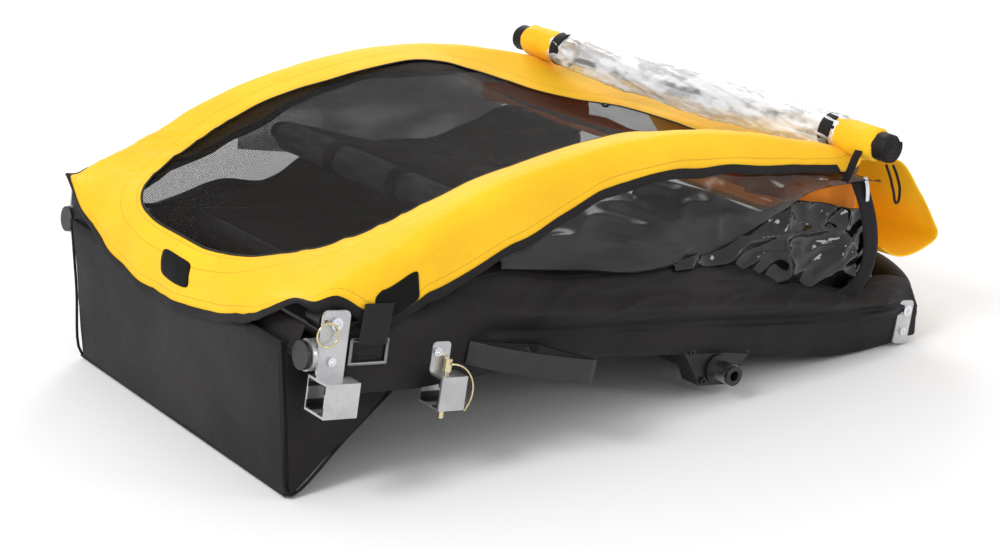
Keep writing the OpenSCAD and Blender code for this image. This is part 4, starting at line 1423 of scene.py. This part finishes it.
@dataclass
class SeatParts:
    """The seat's foam crossbar, its loops, back, base, harness and the floor cloth."""

    finishes: Finishes
    pivot: Pair = (410.0, 48.1)
    reach: float = 656.0
    tilt: float = 19.2
    foam_r: float = 19.0

    def on_seat(self, x: float, along: float, up: float) -> Vector:
        """Gives a point over the seat hoop's plane, from its place along the arms."""
        c, s = math.cos(math.radians(self.tilt)), math.sin(math.radians(self.tilt))
        return Vector((x, self.pivot[0] - along * c + up * s, self.pivot[1] + along * s + up * c))

    def _panel(self, name: str, half: float, low: float, high: float, deep: float,
               material: bpy.types.Material) -> bpy.types.Object:
        """Makes a slack panel between the seat's arms."""

        def place(a: float, b: float) -> Vector:
            """Gives a point of the panel."""
            u = 2 * a - 1
            slack = deep * (1 - u**4) * math.sin(math.pi * b)
            ripple = 2.2 * wave(u * 3, b * 6, 2.0) + 2.5 * crease(u * 2, b * 5, 5.0)
            return self.on_seat(half * u, low + (high - low) * b, -slack + ripple * 0.8)

        return sheet(name, (60, 80), place, material, 2.2)

    def build(self) -> None:
        """Makes the seat's pieces."""
        f = self.finishes
        centre = self.on_seat(0, self.reach, 0)
        axes = Matrix.Translation(centre)
        for i, tag in ((-1, "right"), (0, "middle"), (1, "left")):
            low, high = i * 142 - 60, i * 142 + 60
            outline = [(low, 12.4), (low, 17.0), (low + 2, self.foam_r)]
            outline += [(low + 2 + 116 * k / 24, self.foam_r) for k in range(1, 24)]
            outline += [(high - 2, self.foam_r), (high, 17.0), (high, 12.4)]
            foam = lathe(f"crossbar_foam_{tag}", outline, axes, f.foam, 40,
                         lambda x, t: 0.5 * wave(x / 16, 2 * math.cos(t), 2 * math.sin(t))
                         - 0.9 * max(0.0, 1 - abs(math.sin(t + 0.6)) * 9))
            if i == 0:
                settle(foam, Body.SEAT, "foam", "crossbar_foam")
            else:
                settle(foam, Body.SEAT, "foam")
        for side in Side:
            x = side.value * 71
            ring = [centre + Vector((x, 20.5 * math.cos(t), 20.5 * math.sin(t)))
                    for t in (i * math.pi / 10 for i in range(21))]
            tail = [centre + Vector((x + side.value * k * 3, 19 + k * 5, -6 - k * 9))
                    for k in range(5)]
            loop = strap(f"crossbar_loop_{side.tag}", ring, Vector((1, 0, 0)), 19, f.webbing, 1.6)
            if side is Side.LEFT:
                settle(loop, Body.SEAT, "webbing", "crossbar_loops")
            else:
                settle(loop, Body.SEAT, "webbing")
            settle(strap(f"crossbar_tail_{side.tag}", tail, Vector((1, 0, 0)), 19, f.webbing, 1.6),
                   Body.SEAT, "webbing")
        back = self._panel("seat_back_cloth", 243, 46, 634, 26, f.lining)
        settle(back, Body.SEAT, "black_cloth", "seat_back")
        pocket = self._panel("seat_back_pocket", 150, 380, 560, 12, f.net)
        settle(pocket, Body.SEAT, "black_mesh")
        for i, x in enumerate((-150, -90, 90, 150)):
            path = [self.on_seat(x + 6 * wave(k, i, 1), 190 + 390 * k / 12,
                                 6 - 22 * math.sin(math.pi * k / 12) + 3 * wave(k / 2, i, 4))
                    for k in range(13)]
            harness = strap(f"harness_strap_{i + 1}", path, Vector((1, 0, 0)), 25, f.webbing, 1.8)
            if i == 0:
                settle(harness, Body.SEAT, "webbing", "harness_straps")
            else:
                settle(harness, Body.SEAT, "webbing")

        def base(a: float, b: float) -> Vector:
            """Gives a point of the seat's base cloth."""
            u = 2 * a - 1
            lump = 6 * wave(u * 2, b * 3, 3.0) + 4 * crease(u * 3, b * 4, 8.0)
            return on_rail(500 + 340 * b, 5 + lump * 0.6 * math.sin(math.pi * b), 235 * u)

        seat = sheet("seat_base_cloth", (60, 50), base, f.lining, 3.0)
        settle(seat, Body.BASE, "black_cloth", "seat_base")

        def floor(a: float, b: float) -> Vector:
            """Gives a point of the floor cloth."""
            u = 2 * a - 1
            dip = 3 * (1 - u * u) * math.sin(math.pi * b) + 1.5 * wave(u * 4, b * 6, 1.0)
            return on_rail(198 + 686 * b, -dip, 277 * u)

        ground = sheet("floor_cloth", (60, 80), floor, f.lining, 2.0)
        settle(ground, Body.BASE, "black_cloth", "floor_panel")


@dataclass
class RailStraps:
    """Webbing round the rails at the strap rings and a strap rising from each; the teardrop tether ring
    is not made here.
    """

    finishes: Finishes
    loop_r: float = 15.4

    def build(self) -> None:
        """Makes the straps."""
        f = self.finishes
        for side in Side:
            sign = side.value
            around = [on_rail(70, self.loop_r * math.sin(t), sign * (RAIL_X + self.loop_r * math.cos(t)))
                      for t in (i * math.pi / 12 for i in range(25))]
            way = on_rail(1, 0) - on_rail(0, 0)
            loop = strap(f"ring_webbing_{side.tag}", around, way, 32, f.webbing, 1.3)
            if side is Side.LEFT:
                settle(loop, Body.BASE, "webbing", "tension_straps")
            else:
                settle(loop, Body.BASE, "webbing")
            up = [on_rail(68 + 2 * k, 16 + 7 * k, sign * (318 - 2.2 * k)) for k in range(7)]
            settle(strap(f"ring_strap_{side.tag}", up, way, 36, f.webbing, 1.8), Body.BASE, "webbing")


def main() -> None:
    """Builds the trailer's looks in order."""
    logging.basicConfig(level=logging.INFO, format="%(message)s")
    finishes = Finishes()
    Studio().build(StudioFloor().build())
    Hardware(finishes).build()
    for part in (Cover, RainRoll, SidePanels, RearCloth, Footwell, SeatParts, RailStraps):
        LOG.info("building %s", part.__name__)
        part(finishes).build()
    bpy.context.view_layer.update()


if __name__ == "__main__":
    main()
